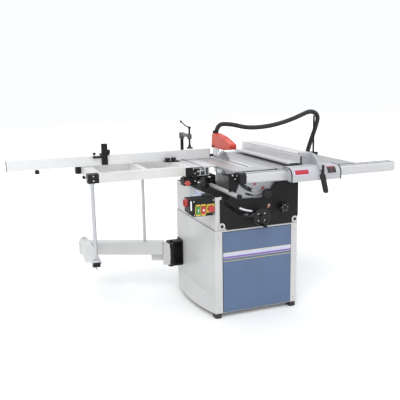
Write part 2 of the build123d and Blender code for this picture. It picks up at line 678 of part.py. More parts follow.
# ---------------------------------------------------------------- sliding table
SLOT_X = 30
with BuildPart(MACHINE) as slider_table:
    body_right = 70
    block((SLIDER_X[0], body_right), SLIDER_Y, SLIDER_Z)
    block((body_right, SLIDER_X[1]), SLIDER_Y, (TOP - 8, TOP))
    for chamber_x, chamber_z in (
        ((-27, 12), (800, 821)),
        ((17, 43), (800, 824)),
        ((48, 65), (800, 843)),
        ((-27, 12), (826, 843)),
        ((SLOT_X - 12, SLOT_X + 12), (829, 840)),
        ((SLOT_X - 6, SLOT_X + 6), (839, TOP + 1)),
    ):
        block(chamber_x, (SLIDER_Y[0] - 1, SLIDER_Y[1] + 1), chamber_z, Mode.SUBTRACT)
slider_table.part.label = "slider_table"
export_step(slider_table.part, "parts/slider_table.step")

CARRIAGE_Y = ((240, 300), (420, 480))
with BuildPart(MACHINE) as slider_carriage:
    block((-30, 112), (CARRIAGE_Y[0][0], CARRIAGE_Y[1][1]), (788, SLIDER_Z[0]))
    for carriage_y in CARRIAGE_Y:
        block((43, 56), carriage_y, (715, 788))
        block((104, 112), carriage_y, (733, 788))
    block((-88, -5), CARRIAGE_Y[0], (745, 788))
    block((-31, -9), (234, SLIDER_Y[0]), (745, 836))
    top_radius, side_radius = 14, 7
    for roller_y in (255, 285, 435, 465):
        top_z = TUBE_Z + TUBE_R + top_radius + GAP
        side_x = TUBE_X - TUBE_R - side_radius - GAP
        disc(side_view(74), (roller_y, top_z), top_radius, 24)
        disc(side_view(56), (roller_y, top_z), 4, 48)
        disc(level(722), (side_x, roller_y), side_radius, 20)
        disc(level(742), (side_x, roller_y), 3, 46)
slider_carriage.part.label = "slider_carriage"
export_step(slider_carriage.part, "parts/slider_carriage.step")

with BuildPart(MACHINE) as slider_lock_knob:
    disc(front_view(CARRIAGE_Y[0][0]), (-72, 762), 5, 8)
    star(front_view(CARRIAGE_Y[0][0] - 8), (-72, 762), 17, 18)
slider_lock_knob.part.label = "slider_lock_knob"
export_step(slider_lock_knob.part, "parts/slider_lock_knob.step")

# ---------------------------------------------------------------- outrigger
tube_w = 50
corner_x = (FRAME_X[0], FRAME_X[0] + 62)
right_x = (-76, FRAME_X[1])
rear_y = (640, 690)
front_y = (265, 315)
with BuildPart(MACHINE) as outrigger_frame:
    for tube_x, tube_y, tube_axis in (
        ((corner_x[1], right_x[0]), front_y, 0),
        ((corner_x[1], right_x[0]), rear_y, 0),
        ((FRAME_X[0] + 30, FRAME_X[0] + 30 + tube_w), (front_y[1], rear_y[0]), 1),
        (right_x, (242, rear_y[1]), 1),
        ((-313, -283), (front_y[1], rear_y[0]), 1),
    ):
        tube(tube_x, tube_y, FRAME_Z, tube_axis)
    disc(level(FRAME_Z[0]), MITRE_AT, 6.05, 60, Mode.SUBTRACT)
outrigger_frame.part.label = "outrigger_frame"
export_step(outrigger_frame.part, "parts/outrigger_frame.step")

with BuildPart(MACHINE) as outrigger_caps:
    for cap_y in (front_y, rear_y):
        block(corner_x, cap_y, FRAME_Z)
    block(right_x, (236, 242), FRAME_Z)
    block(right_x, (rear_y[1], rear_y[1] + 4), FRAME_Z)
    disc(level(FRAME_Z[0]), (-595, 615), 5, -8)
    with Locations((-595, 615, FRAME_Z[0] - 18)):
        Sphere(12)
outrigger_caps.part.label = "outrigger_caps"
export_step(outrigger_caps.part, "parts/outrigger_caps.step")

# ---------------------------------------------------------------- crosscut fence
EAR_Z = (TOP + 1, FENCE_Z[0])
with BuildPart(MACHINE) as crosscut_fence:
    block(FENCE_X, FENCE_Y, FENCE_Z)
    for chamber_z in ((859, 882), (886, 909)):
        block((FENCE_X[0] - 1, FENCE_X[1] + 1), (FENCE_Y[0] + 3, FENCE_Y[1] - 3), chamber_z, Mode.SUBTRACT)
    block((FENCE_X[0] - 1, FENCE_X[1] + 1), (FENCE_Y[1] - 4, FENCE_Y[1] + 1), (892, 900), Mode.SUBTRACT)
crosscut_fence.part.label = "crosscut_fence"
export_step(crosscut_fence.part, "parts/crosscut_fence.step")

with BuildPart(MACHINE) as fence_fittings:
    block((-112, -22), (496, FENCE_Y[1]), EAR_Z)
    disc(level(FRAME_Z[1] - 30), MITRE_AT, 6, 31)
    block((FENCE_X[0] - CAP, FENCE_X[0]), FENCE_Y, FENCE_Z)
    block((FENCE_X[1], FENCE_X[1] + CAP), FENCE_Y, FENCE_Z)
    block((FENCE_X[1] + CAP, FENCE_X[1] + CAP + 26), (556, 572), (861, 876))
    for knob_at in (MITRE_AT, (-94, 516)):
        disc(level(EAR_Z[1]), knob_at, 6, 6)
        disc(level(EAR_Z[1] + 6), knob_at, 15, 14)
    disc(level(FENCE_Z[0]), (-874, 562), 5, -6)
    disc(level(FENCE_Z[0] - 6), (-874, 562), 13, -20)
fence_fittings.part.label = "fence_fittings"
export_step(fence_fittings.part, "parts/fence_fittings.step")

FLIP_AT = (540, 936)
with BuildPart(MACHINE) as stop_carrier:
    block((STOP_X - 28, STOP_X + 28), (FENCE_Y[0], FENCE_Y[1] + 8), (FENCE_Z[1] + GAP, 924))
    block((STOP_X - 28, STOP_X + 28), (FENCE_Y[1] + GAP, FENCE_Y[1] + 8), (880, 924))
    disc(front_view(FENCE_Y[1] + 26), (STOP_X, 900), 6, 18)
    disc(front_view(FENCE_Y[1] + 42), (STOP_X, 900), 20, 16)
    block((STOP_X + 14, STOP_X + 28), (532, 560), (924, 946))
    disc(side_view(STOP_X - 24), FLIP_AT, 4, 52)
stop_carrier.part.label = "stop_carrier"
export_step(stop_carrier.part, "parts/stop_carrier.step")

with BuildPart(MACHINE) as flip_stop:
    block((STOP_X - 22, STOP_X + 13.7), (536, 546), (857, 984))
    disc(side_view(STOP_X - 22), FLIP_AT, 9, 35.7)
    disc(side_view(STOP_X - 23), FLIP_AT, 4.05, 37, Mode.SUBTRACT)
    block((STOP_X - 74, STOP_X - 22), (536, 546), (900, 912))
    disc(level(912), (STOP_X - 66, 541), 3, 10)
    disc(level(922), (STOP_X - 66, 541), 9, 12)
flip_stop.part.label = "flip_stop"
export_step(flip_stop.part, "parts/flip_stop.step")

# ---------------------------------------------------------------- hold-down clamp
CLAMP_AT = (SLOT_X, 592)
PAD_AT = (SLOT_X, 452)
with BuildPart(MACHINE) as clamp_post:
    block((SLOT_X - 11.5, SLOT_X + 11.5), (CLAMP_AT[1] - 16, CLAMP_AT[1] + 16), (829.5, 839.5))
    disc(level(839.5), CLAMP_AT, 5, TOP + GAP - 839.5)
    disc(level(TOP + GAP), CLAMP_AT, 15.5, 6)
    disc(level(TOP + 6), CLAMP_AT, 10.5, 136)
clamp_post.part.label = "clamp_post"
export_step(clamp_post.part, "parts/clamp_post.step")

with BuildPart(MACHINE) as clamp_arm:
    block((SLOT_X - 11, SLOT_X + 11), (PAD_AT[1], CLAMP_AT[1]), (1002, 1020))
    for boss_at, boss_radius, boss_z in ((CLAMP_AT, 17, 984), (PAD_AT, 14, 992)):
        disc(level(boss_z), boss_at, boss_radius, 1021 - boss_z)
    disc(level(980), CLAMP_AT, 10.55, 32, Mode.SUBTRACT)
    disc(level(980), PAD_AT, 6.3, 60, Mode.SUBTRACT)
clamp_arm.part.label = "clamp_arm"
export_step(clamp_arm.part, "parts/clamp_arm.step")

with BuildPart(MACHINE) as clamp_spindle:
    disc(level(950), PAD_AT, 6, 106)
    disc(level(1056), PAD_AT, 9, 12)
    crank_route = ((PAD_AT[1], 1062), (520, 1068), (604, 1088))
    with BuildLine():
        FilletPolyline(*[(SLOT_X - ORIGIN_X, y - ORIGIN_Y, z) for y, z in crank_route], radius=60)
    with BuildSketch(Plane(origin=(SLOT_X - ORIGIN_X, PAD_AT[1] - ORIGIN_Y, 1062), z_dir=(0, 68, 6))):
        Circle(4)
    sweep()
    with Locations((SLOT_X, 604, 1088)):
        Sphere(7)
clamp_spindle.part.label = "clamp_spindle"
export_step(clamp_spindle.part, "parts/clamp_spindle.step")

with BuildPart(MACHINE) as clamp_pad:
    disc(level(934), PAD_AT, 20, 7)
    disc(level(941), PAD_AT, 10, 14)
    disc(level(943), PAD_AT, 6.05, 13, Mode.SUBTRACT)
clamp_pad.part.label = "clamp_pad"
export_step(clamp_pad.part, "parts/clamp_pad.step")

# ---------------------------------------------------------------- rip fence
CARRIAGE_X, CARRIAGE_FRONT = (405, 718), -144
CARRIAGE_TOP, CARRIAGE_R = 862, 45
LUG_X, LEVER_PIVOT = (578, 610), (-150, 862)
with BuildPart(MACHINE) as rip_carriage:
    rail_face, plate_under = RAIL_Y[0] - GAP, TOP + 1.5
    with BuildSketch(side_view(CARRIAGE_X[0])):
        with BuildLine():
            Polyline((CARRIAGE_FRONT, CARRIAGE_TOP - CARRIAGE_R), (CARRIAGE_FRONT, 786), (rail_face, 786))
            Polyline((rail_face, 786), (rail_face, plate_under), (-42, plate_under), (-42, CARRIAGE_TOP))
            Line((-42, CARRIAGE_TOP), (CARRIAGE_FRONT + CARRIAGE_R, CARRIAGE_TOP))
            RadiusArc(
                (CARRIAGE_FRONT + CARRIAGE_R, CARRIAGE_TOP),
                (CARRIAGE_FRONT, CARRIAGE_TOP - CARRIAGE_R),
                -CARRIAGE_R,
            )
        make_face()
    extrude(amount=CARRIAGE_X[1] - CARRIAGE_X[0])
    block((BEAM_X[0], 667), (-43, 40), (plate_under, CARRIAGE_TOP))
    for lug_x in (LUG_X[0], LUG_X[1] - 9):
        block((lug_x, lug_x + 9), (-154, -115), (846, 870))
    disc(side_view(LUG_X[0]), LEVER_PIVOT, 2.5, LUG_X[1] - LUG_X[0])
rip_carriage.part.label = "rip_carriage"
export_step(rip_carriage.part, "parts/rip_carriage.step")

with BuildPart(MACHINE) as fence_casting:
    with BuildSketch(front_view(40)):
        with BuildLine():
            Polyline((604, 924), (BEAM_X[0], 924), (BEAM_X[0], CARRIAGE_TOP), (667, CARRIAGE_TOP))
            RadiusArc((667, CARRIAGE_TOP), (604, 924), -64)
        make_face()
    extrude(amount=38)
    with BuildSketch(side_view(604)):
        with BuildLine():
            Polyline((2, 920), (2, CARRIAGE_TOP), (-88, CARRIAGE_TOP))
            RadiusArc((-88, CARRIAGE_TOP), (2, 920), 100)
        make_face()
    extrude(amount=12)
    for screw_x, screw_z in ((570, 905), (628, 884)):
        disc(front_view(2), (screw_x, screw_z), 7, 5)
fence_casting.part.label = "fence_casting"
export_step(fence_casting.part, "parts/fence_casting.step")

with BuildPart(MACHINE) as fence_beam:
    block(BEAM_X, (40, 790), (TOP + 3, 917))
    block((BEAM_X[0] + 4, BEAM_X[1] - 4), (39, 791), (857, 884), Mode.SUBTRACT)
    block((BEAM_X[0] + 4, BEAM_X[1] - 4), (39, 791), (888, 913), Mode.SUBTRACT)
fence_beam.part.label = "fence_beam"
export_step(fence_beam.part, "parts/fence_beam.step")

with BuildPart(MACHINE) as rip_fence:
    prism(
        front_view(745),
        [(460, 864), (460, 874), (528, 874), (528, 909), (BEAM_X[0] - GAP, 909), (BEAM_X[0] - GAP, 864)],
        755,
    )
    for chamber_x, chamber_z in (((464, 524), (867, 871)), ((532, 541), (868, 905))):
        block(chamber_x, (-11, 746), chamber_z, Mode.SUBTRACT)
rip_fence.part.label = "rip_fence"
export_step(rip_fence.part, "parts/rip_fence.step")

with BuildPart(MACHINE) as lock_lever:
    prism(
        front_view(LEVER_Y[1]),
        [
            (588, 872),
            (600, 872),
            (601, 824),
            (608, 816),
            (631, 722),
            (625, 712),
            (609, 712),
            (602, 720),
            (577, 816),
            (587, 824),
        ],
        LEVER_Y[1] - LEVER_Y[0],
    )
    fillet(lock_lever.faces().sort_by(Axis.Y)[0].edges(), 2)
    disc(side_view(588), LEVER_PIVOT, 5.4, 12)
    disc(side_view(587), LEVER_PIVOT, 2.55, 14, Mode.SUBTRACT)
lock_lever.part.label = "lock_lever"
export_step(lock_lever.part, "parts/lock_lever.step")

# ---------------------------------------------------------------- support arms
ARM_Z = (252, 330)
with BuildPart(MACHINE) as arm_hinge_bracket:
    block((-8, 0), (534, 626), (172, 334))
    block((-46, -8), (575, 583), (182, 324))
    for ear_z in ((172, 182), (324, 334)):
        block((-98, -8), (528, 583), ear_z)
    disc(level(165), HINGE, 8, 176)
    disc(level(334), HINGE, 12, 6)
    disc(level(172), HINGE, 12, -6)
    for bolt_at in ((607, 310), (607, 196)):
        disc(side_view(-8), bolt_at, 9, -6)
arm_hinge_bracket.part.label = "arm_hinge_bracket"
export_step(arm_hinge_bracket.part, "parts/arm_hinge_bracket.step")

arm_run = Vector(ELBOW[0] - HINGE[0], ELBOW[1] - HINGE[1])
arm_unit = arm_run.normalized()
ROD_AT = (-223, 645)
ROD_R = 9.5
with BuildPart(MACHINE) as swing_arm:
    beam_start = (HINGE[0] + 52 * arm_unit.X, HINGE[1] + 52 * arm_unit.Y)
    beam_end = (ELBOW[0] - 4 * arm_unit.X, ELBOW[1] - 4 * arm_unit.Y)
    slab(beam_start, beam_end, 35, ARM_Z)
    hollow_start = (HINGE[0] + 60 * arm_unit.X, HINGE[1] + 60 * arm_unit.Y)
    hollow_end = (ELBOW[0] - 40 * arm_unit.X, ELBOW[1] - 40 * arm_unit.Y)
    slab(hollow_start, hollow_end, 32, (ARM_Z[0] + SHEET, ARM_Z[1] - SHEET), Mode.SUBTRACT)
    slab(HINGE, beam_start, 24, (182 + GAP, 324 - GAP))
    disc(level(182 + GAP), HINGE, 24, 142 - 2 * GAP)
    gusset_end = (HINGE[0] + 130 * arm_unit.X, HINGE[1] + 130 * arm_unit.Y)
    slab(beam_start, gusset_end, 4, (205, ARM_Z[0]))
    disc(level(160), HINGE, 8.05, 200, Mode.SUBTRACT)
    disc(level(ARM_Z[1]), ELBOW, 10, 32)
    disc(level(ARM_Z[0]), ELBOW, 33, ARM_Z[1] - ARM_Z[0])
    disc(level(ARM_Z[1]), ROD_AT, ROD_R + 3, 4)
    disc(level(ARM_Z[1]), ROD_AT, ROD_R, 455)
swing_arm.part.label = "swing_arm"
export_step(swing_arm.part, "parts/swing_arm.step")

CHANNEL_Z = (331, 351)
post_run = Vector(POST[0] - ELBOW[0], POST[1] - ELBOW[1])
post_unit = post_run.normalized()
FLANGE_FOOT_Z = 268
with BuildPart(MACHINE) as front_arm:
    channel_end = (POST[0] + 22 * post_unit.X, POST[1] + 22 * post_unit.Y)
    flange_start = (ELBOW[0] + 62 * post_unit.X, ELBOW[1] + 62 * post_unit.Y)
    slab(ELBOW, channel_end, 27, CHANNEL_Z)
    slab(flange_start, channel_end, 27, (FLANGE_FOOT_Z, CHANNEL_Z[0]))
    slab(flange_start, channel_end, 23, (FLANGE_FOOT_Z - 1, CHANNEL_Z[1] - 5), Mode.SUBTRACT)
    along_arm = Plane(
        origin=(flange_start[0] - ORIGIN_X, flange_start[1] - ORIGIN_Y, 0),
        x_dir=(post_unit.X, post_unit.Y, 0),
        z_dir=(post_unit.Y, -post_unit.X, 0),
    )
    flange_run = post_run.length - 62 + 22
    with BuildSketch(along_arm) as flange_taper:
        with BuildLine():
            Polyline(
                (0.42 * flange_run, FLANGE_FOOT_Z - 2),
                (flange_run + 5, FLANGE_FOOT_Z - 2),
                (flange_run + 5, CHANNEL_Z[0]),
                (0.88 * flange_run, CHANNEL_Z[0]),
                close=True,
            )
        make_face()
    extrude(flange_taper.sketch, amount=30, both=True, mode=Mode.SUBTRACT)
    disc(level(CHANNEL_Z[0]), ELBOW, 27, 20)
    disc(level(CHANNEL_Z[0] - 1), ELBOW, 10.05, 24, Mode.SUBTRACT)
front_arm.part.label = "front_arm"
export_step(front_arm.part, "parts/front_arm.step")

with BuildPart(MACHINE) as support_post:
    disc(level(CHANNEL_Z[1]), POST, 20, 7)
    disc(level(CHANNEL_Z[1] + 7), POST, 10.5, 432)
    disc(level(790), POST, 16, 7)
    block((POST[0] - 20, POST[0] + 20), (POST[1] - 12, POST[1] + 20), (313, CHANNEL_Z[1] - 5))
    disc(level(297), POST, 5, 16)
support_post.part.label = "support_post"
export_step(support_post.part, "parts/support_post.step")
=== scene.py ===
"""Looks of a sliding-table panel saw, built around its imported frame.

Places are in millimetres from the front left floor corner of the cabinet, as in the part's source,
and at() turns them into metres in the frame.
"""
import math

import bmesh
import bpy
from mathutils import Matrix, Vector


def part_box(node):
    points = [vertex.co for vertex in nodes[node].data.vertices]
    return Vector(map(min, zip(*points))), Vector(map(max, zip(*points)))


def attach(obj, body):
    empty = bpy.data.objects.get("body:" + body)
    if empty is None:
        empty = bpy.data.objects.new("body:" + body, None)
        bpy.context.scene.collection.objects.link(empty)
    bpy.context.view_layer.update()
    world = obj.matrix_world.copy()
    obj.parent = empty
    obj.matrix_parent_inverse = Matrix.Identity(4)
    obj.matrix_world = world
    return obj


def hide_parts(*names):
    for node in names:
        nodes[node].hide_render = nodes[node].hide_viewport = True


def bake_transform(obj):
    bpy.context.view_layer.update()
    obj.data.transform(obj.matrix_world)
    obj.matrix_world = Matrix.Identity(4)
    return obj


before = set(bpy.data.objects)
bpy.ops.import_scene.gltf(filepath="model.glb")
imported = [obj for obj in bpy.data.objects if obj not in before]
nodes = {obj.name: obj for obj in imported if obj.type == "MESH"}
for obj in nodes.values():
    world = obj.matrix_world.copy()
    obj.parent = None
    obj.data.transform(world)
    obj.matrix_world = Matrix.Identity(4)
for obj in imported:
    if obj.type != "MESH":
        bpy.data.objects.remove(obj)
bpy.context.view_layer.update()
door_low, door_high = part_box("cabinet_door")
CORNER = Vector((door_low.x - 0.050, door_high.y, 0))
MM = 0.001


def at(x, y, z):
    """Metres in the frame of a place given in millimetres from the cabinet's corner."""
    return CORNER + Vector((x, y, z)) * MM


# ---------------------------------------------------------------- camera
def add_camera():
    """The camera stands front left of the saw, a little above the table."""
    yaw, pitch, roll = (math.radians(angle) for angle in (21.058, 11.867, -1.060))
    forward = Vector((math.sin(yaw) * math.cos(pitch), math.cos(yaw) * math.cos(pitch), -math.sin(pitch)))
    flat_right = forward.cross(Vector((0, 0, 1))).normalized()
    flat_up = flat_right.cross(forward)
    right = math.cos(roll) * flat_right + math.sin(roll) * flat_up
    up = math.cos(roll) * flat_up - math.sin(roll) * flat_right
    data = bpy.data.cameras.new("camera")
    data.lens = 53.74
    data.sensor_width = 36
    data.clip_end = 60
    camera = bpy.data.objects.new("camera", data)
    turn = Matrix((right, up, -forward)).transposed().to_4x4()
    camera.matrix_world = Matrix.Translation(at(-1225.98, -2969.27, 1376.02)) @ turn
    bpy.context.scene.collection.objects.link(camera)
    bpy.context.scene.camera = camera


add_camera()


# ---------------------------------------------------------------- materials
class Paint:
    """A node material around one principled shader, with helpers for its procedural detail."""

    def __init__(self, name, metallic=0.0, coat=0.0, shine=0.5):
        self.material = bpy.data.materials.new(name)
        self.material.use_nodes = True
        self.tree = self.material.node_tree
        self.shader = self.tree.nodes["Principled BSDF"]
        self.shader.inputs["Metallic"].default_value = metallic
        self.shader.inputs["Coat Weight"].default_value = coat
        self.shader.inputs["Specular IOR Level"].default_value = shine
        self.shader.inputs["Coat Roughness"].default_value = 0.15
        self.place = self.node("ShaderNodeTexCoord").outputs["Object"]

    def node(self, kind, **settings):
        made = self.tree.nodes.new(kind)
        for key, value in settings.items():
            setattr(made, key, value)
        return made

    def link(self, source, target):
        self.tree.links.new(source, target)

    def noise(self, scale, detail=3.0, stretch=(1, 1, 1), place=None):
        mapping = self.node("ShaderNodeMapping")
        mapping.inputs["Scale"].default_value = stretch
        texture = self.node("ShaderNodeTexNoise")
        texture.inputs["Scale"].default_value = scale
        texture.inputs["Detail"].default_value = detail
        self.link(place or self.place, mapping.inputs["Vector"])
        self.link(mapping.outputs["Vector"], texture.inputs["Vector"])
        return texture.outputs["Fac"]

    def math(self, operation, first, second=0.0):
        made = self.node("ShaderNodeMath", operation=operation)
        for socket, value in zip(made.inputs, (first, second)):
            if isinstance(value, (int, float)):
                socket.default_value = value
            else:
                self.link(value, socket)
        return made.outputs[0]

    def ramp(self, factor, stops):
        made = self.node("ShaderNodeValToRGB")
        elements = made.color_ramp.elements
        while len(elements) < len(stops):
            elements.new(0.5)
        for element, (place, color) in zip(elements, stops):
            element.position = place
            element.color = (*color, 1) if not isinstance(color, (int, float)) else (color, color, color, 1)
        self.link(factor, made.inputs["Fac"])
        return made.outputs["Color"]

    def mix(self, factor, first, second):
        made = self.node("ShaderNodeMix", data_type="RGBA")
        for socket, value in ((made.inputs[0], factor), (made.inputs[6], first), (made.inputs[7], second)):
            if isinstance(value, bpy.types.NodeSocket):
                self.link(value, socket)
            elif isinstance(value, (int, float)):
                socket.default_value = value
            else:
                socket.default_value = (*value, 1)
        return made.outputs[2]

    def axis(self, index):
        split = self.node("ShaderNodeSeparateXYZ")
        self.link(self.place, split.inputs[0])
        return split.outputs[index]

    def rough(self, factor, low, high):
        self.link(self.ramp(factor, ((0.3, low), (0.7, high))), self.shader.inputs["Roughness"])

    def color(self, socket):
        self.link(socket, self.shader.inputs["Base Color"])

    def bump(self, factor, strength, depth=0.0005, edge=0.0):
        made = self.node("ShaderNodeBump")
        made.inputs["Strength"].default_value = strength
        made.inputs["Distance"].default_value = depth
        self.link(factor, made.inputs["Height"])
        if edge:
            bevel = self.node("ShaderNodeBevel", samples=4)
            bevel.inputs["Radius"].default_value = edge
            self.link(bevel.outputs[0], made.inputs["Normal"])
        self.link(made.outputs[0], self.shader.inputs["Normal"])

    def worn(self, color, lighter, amount, width=0.0015):
        """Lightens edges a little, broken up by noise."""
        geometry = self.node("ShaderNodeNewGeometry")
        bevel = self.node("ShaderNodeBevel", samples=4)
        bevel.inputs["Radius"].default_value = width
        turned = self.node("ShaderNodeVectorMath", operation="DOT_PRODUCT")
        self.link(bevel.outputs[0], turned.inputs[0])
        self.link(geometry.outputs["Normal"], turned.inputs[1])
        edge = self.ramp(turned.outputs["Value"], ((0.80, 1.0), (0.97, 0.0)))
        patchy = self.ramp(self.noise(45, 5), ((0.42, 0.0), (0.62, 1.0)))
        return self.mix(self.math("MULTIPLY", self.math("MULTIPLY", edge, patchy), amount), color, lighter)


def shade(color, factor):
    """The colour made lighter or darker by a factor."""
    return tuple(min(1.0, channel * factor) for channel in color)


def painted(name, color, low=0.32, high=0.5, edge=0.0015):
    """Powder coat: fine orange peel, faint clouding and worn edges."""
    dark = max(color) < 0.05
    paint = Paint(name, coat=0.0 if dark else 0.12, shine=0.2 if dark else 0.5)
    cloud = paint.noise(5, 5)
    base = paint.ramp(cloud, ((0.3, shade(color, 0.93)), (0.7, shade(color, 1.05))))
    dust = paint.ramp(paint.noise(38, 8), ((0.6, 0.0), (0.8, 0.3)))
    base = paint.mix(dust, base, shade(color, 1.10))
    paint.color(paint.worn(base, tuple(0.6 * channel + (0.04 if dark else 0.16) for channel in color), 0.6))
    paint.rough(paint.noise(70, 4), low, high)
    paint.bump(paint.noise(650, 2), 0.16, 0.0006, edge)
    return paint.material


def metal(name, color, stretch, low=0.24, high=0.42, strength=0.12, metallic=0.92, scale=60):
    """Metal with grain drawn out along one direction."""
    paint = Paint(name, metallic=metallic)
    grain = paint.noise(scale, 6, stretch)
    cloud = paint.noise(4, 4)
    base = paint.ramp(grain, ((0.25, shade(color, 0.86)), (0.75, shade(color, 1.08))))
    smudge = paint.ramp(cloud, ((0.4, 0.0), (0.75, 0.25)))
    paint.color(paint.mix(smudge, base, shade(color, 0.8)))
    paint.rough(grain, low, high)
    paint.bump(grain, strength, 0.0003, 0.0007)
    return paint.material


def plastic(name, color, low=0.35, high=0.55, scale=900, strength=0.2, coat=0.0):
    """Moulded plastic with a fine spark grain and rubbed edges."""
    paint = Paint(name, coat=coat, shine=0.25 if max(color) < 0.05 else 0.5)
    base = paint.ramp(paint.noise(20, 5), ((0.3, shade(color, 0.85)), (0.75, shade(color, 1.15))))
    paint.color(paint.worn(base, shade(color, 1.8), 0.5))
    paint.rough(paint.noise(45, 5), low, high)
    paint.bump(paint.noise(scale, 2), strength, 0.0003, 0.0008)
    return paint.material


def cast_top(name, color, metallic, rim=False):
    """Ground casting: fine crossing scratches over blotchy grey, with black painted sides if asked."""
    paint = Paint(name, metallic=metallic)
    grind = paint.noise(50, 5, (14, 0.5, 4))
    cross = paint.noise(60, 4, (0.6, 10, 4))
    both = paint.math("MULTIPLY", paint.math("ADD", grind, cross), 0.5)
    blotch = paint.noise(7, 6)
    base = paint.ramp(both, ((0.35, shade(color, 0.88)), (0.65, shade(color, 1.08))))
    stain = paint.ramp(blotch, ((0.5, 0.0), (0.8, 0.4)))
    base = paint.mix(stain, base, shade(color, 0.84))
    if rim:
        ground = paint.math("GREATER_THAN", paint.axis(2), 0.8494)
        base = paint.mix(ground, (0.012, 0.012, 0.013), base)
    paint.color(base)
    paint.rough(both, 0.3, 0.5)
    paint.bump(both, 0.12, 0.0003, 0.001)
    return paint.material


def turned_steel(name, centre, color):
    """Steel with rings ground about an axis along X."""
    paint = Paint(name, metallic=0.95)
    offset = paint.node("ShaderNodeVectorMath", operation="SUBTRACT")
    offset.inputs[1].default_value = centre
    paint.link(paint.place, offset.inputs[0])
    split = paint.node("ShaderNodeSeparateXYZ")
    paint.link(offset.outputs[0], split.inputs[0])
    radius = paint.math("SQRT", paint.math(
        "ADD", paint.math("POWER", split.outputs[1], 2.0), paint.math("POWER", split.outputs[2], 2.0)))
    angle = paint.math("ARCTAN2", split.outputs[2], split.outputs[1])
    joined = paint.node("ShaderNodeCombineXYZ")
    paint.link(paint.math("MULTIPLY", radius, 40.0), joined.inputs[0])
    paint.link(paint.math("MULTIPLY", angle, 0.25), joined.inputs[1])
    rings = paint.noise(18, 6, place=joined.outputs[0])
    paint.color(paint.ramp(rings, ((0.3, shade(color, 0.8)), (0.7, shade(color, 1.1)))))
    paint.rough(rings, 0.22, 0.4)
    paint.bump(rings, 0.15, 0.0002)
    return paint.material


GUARD_NOSE_Y = 322


def guard_plastic():
    """Moulded guard, brick red with a darker front end."""
    paint = Paint("guard_moulding", coat=0.1, shine=0.3)
    red, nose = (0.60, 0.062, 0.034), (0.36, 0.030, 0.020)
    along = paint.math("SUBTRACT", paint.axis(1), at(0, GUARD_NOSE_Y, 0).y)
    base = paint.mix(paint.ramp(along, ((0.0, 0.0), (0.01, 1.0))), nose, red)
    base = paint.mix(paint.ramp(paint.noise(12, 6), ((0.45, 0.0), (0.8, 0.3))), base, shade(red, 0.75))
    paint.color(paint.worn(base, (0.75, 0.25, 0.18), 0.6))
    paint.rough(paint.noise(40, 4), 0.28, 0.44)
    paint.bump(paint.noise(500, 2), 0.15, 0.0003, 0.002)
    return paint.material


def rubber(name, color=(0.018, 0.018, 0.019)):
    """Dull black rubber with a dusty bloom."""
    paint = Paint(name)
    paint.color(paint.ramp(paint.noise(90, 6), ((0.3, shade(color, 0.8)), (0.8, shade(color, 2.0)))))
    paint.rough(paint.noise(60, 4), 0.5, 0.75)
    paint.bump(paint.noise(700, 3), 0.3, 0.0003, 0.001)
    return paint.material


def print_ink(name, color):
    """Printed film: even colour with a trace of texture."""
    paint = Paint(name, coat=0.1)
    paint.color(paint.ramp(paint.noise(160, 5), ((0.3, shade(color, 0.95)), (0.7, shade(color, 1.05)))))
    paint.rough(paint.noise(80, 3), 0.34, 0.48)
    paint.bump(paint.noise(900, 2), 0.05, 0.0002)
    return paint.material


def ruler(name, index, film, ink):
    """Printed scale: a fine tick every 5 mm and a long one every 50 mm along one axis."""
    paint = Paint(name, coat=0.1)
    run = paint.axis(index)
    fine = paint.math("LESS_THAN", paint.math("FRACT", paint.math("MULTIPLY", run, 200.0)), 0.16)
    coarse = paint.math("LESS_THAN", paint.math("FRACT", paint.math("MULTIPLY", run, 20.0)), 0.05)
    ticks = paint.math("MAXIMUM", paint.math("MULTIPLY", fine, 0.6), coarse)
    clean = paint.ramp(paint.noise(50, 4), ((0.3, shade(film, 0.93)), (0.7, film)))
    paint.color(paint.mix(ticks, clean, ink))
    paint.rough(paint.noise(80, 3), 0.35, 0.5)
    return paint.material


ALONG_X, ALONG_Y, ALONG_Z = (0.35, 9, 9), (9, 0.35, 9), (9, 9, 0.35)
SAW_CENTRE = (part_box("saw_blade")[0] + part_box("saw_blade")[1]) / 2
LIGHT_GREY = (0.52, 0.52, 0.52)
CAST_GREY = (0.42, 0.425, 0.45)

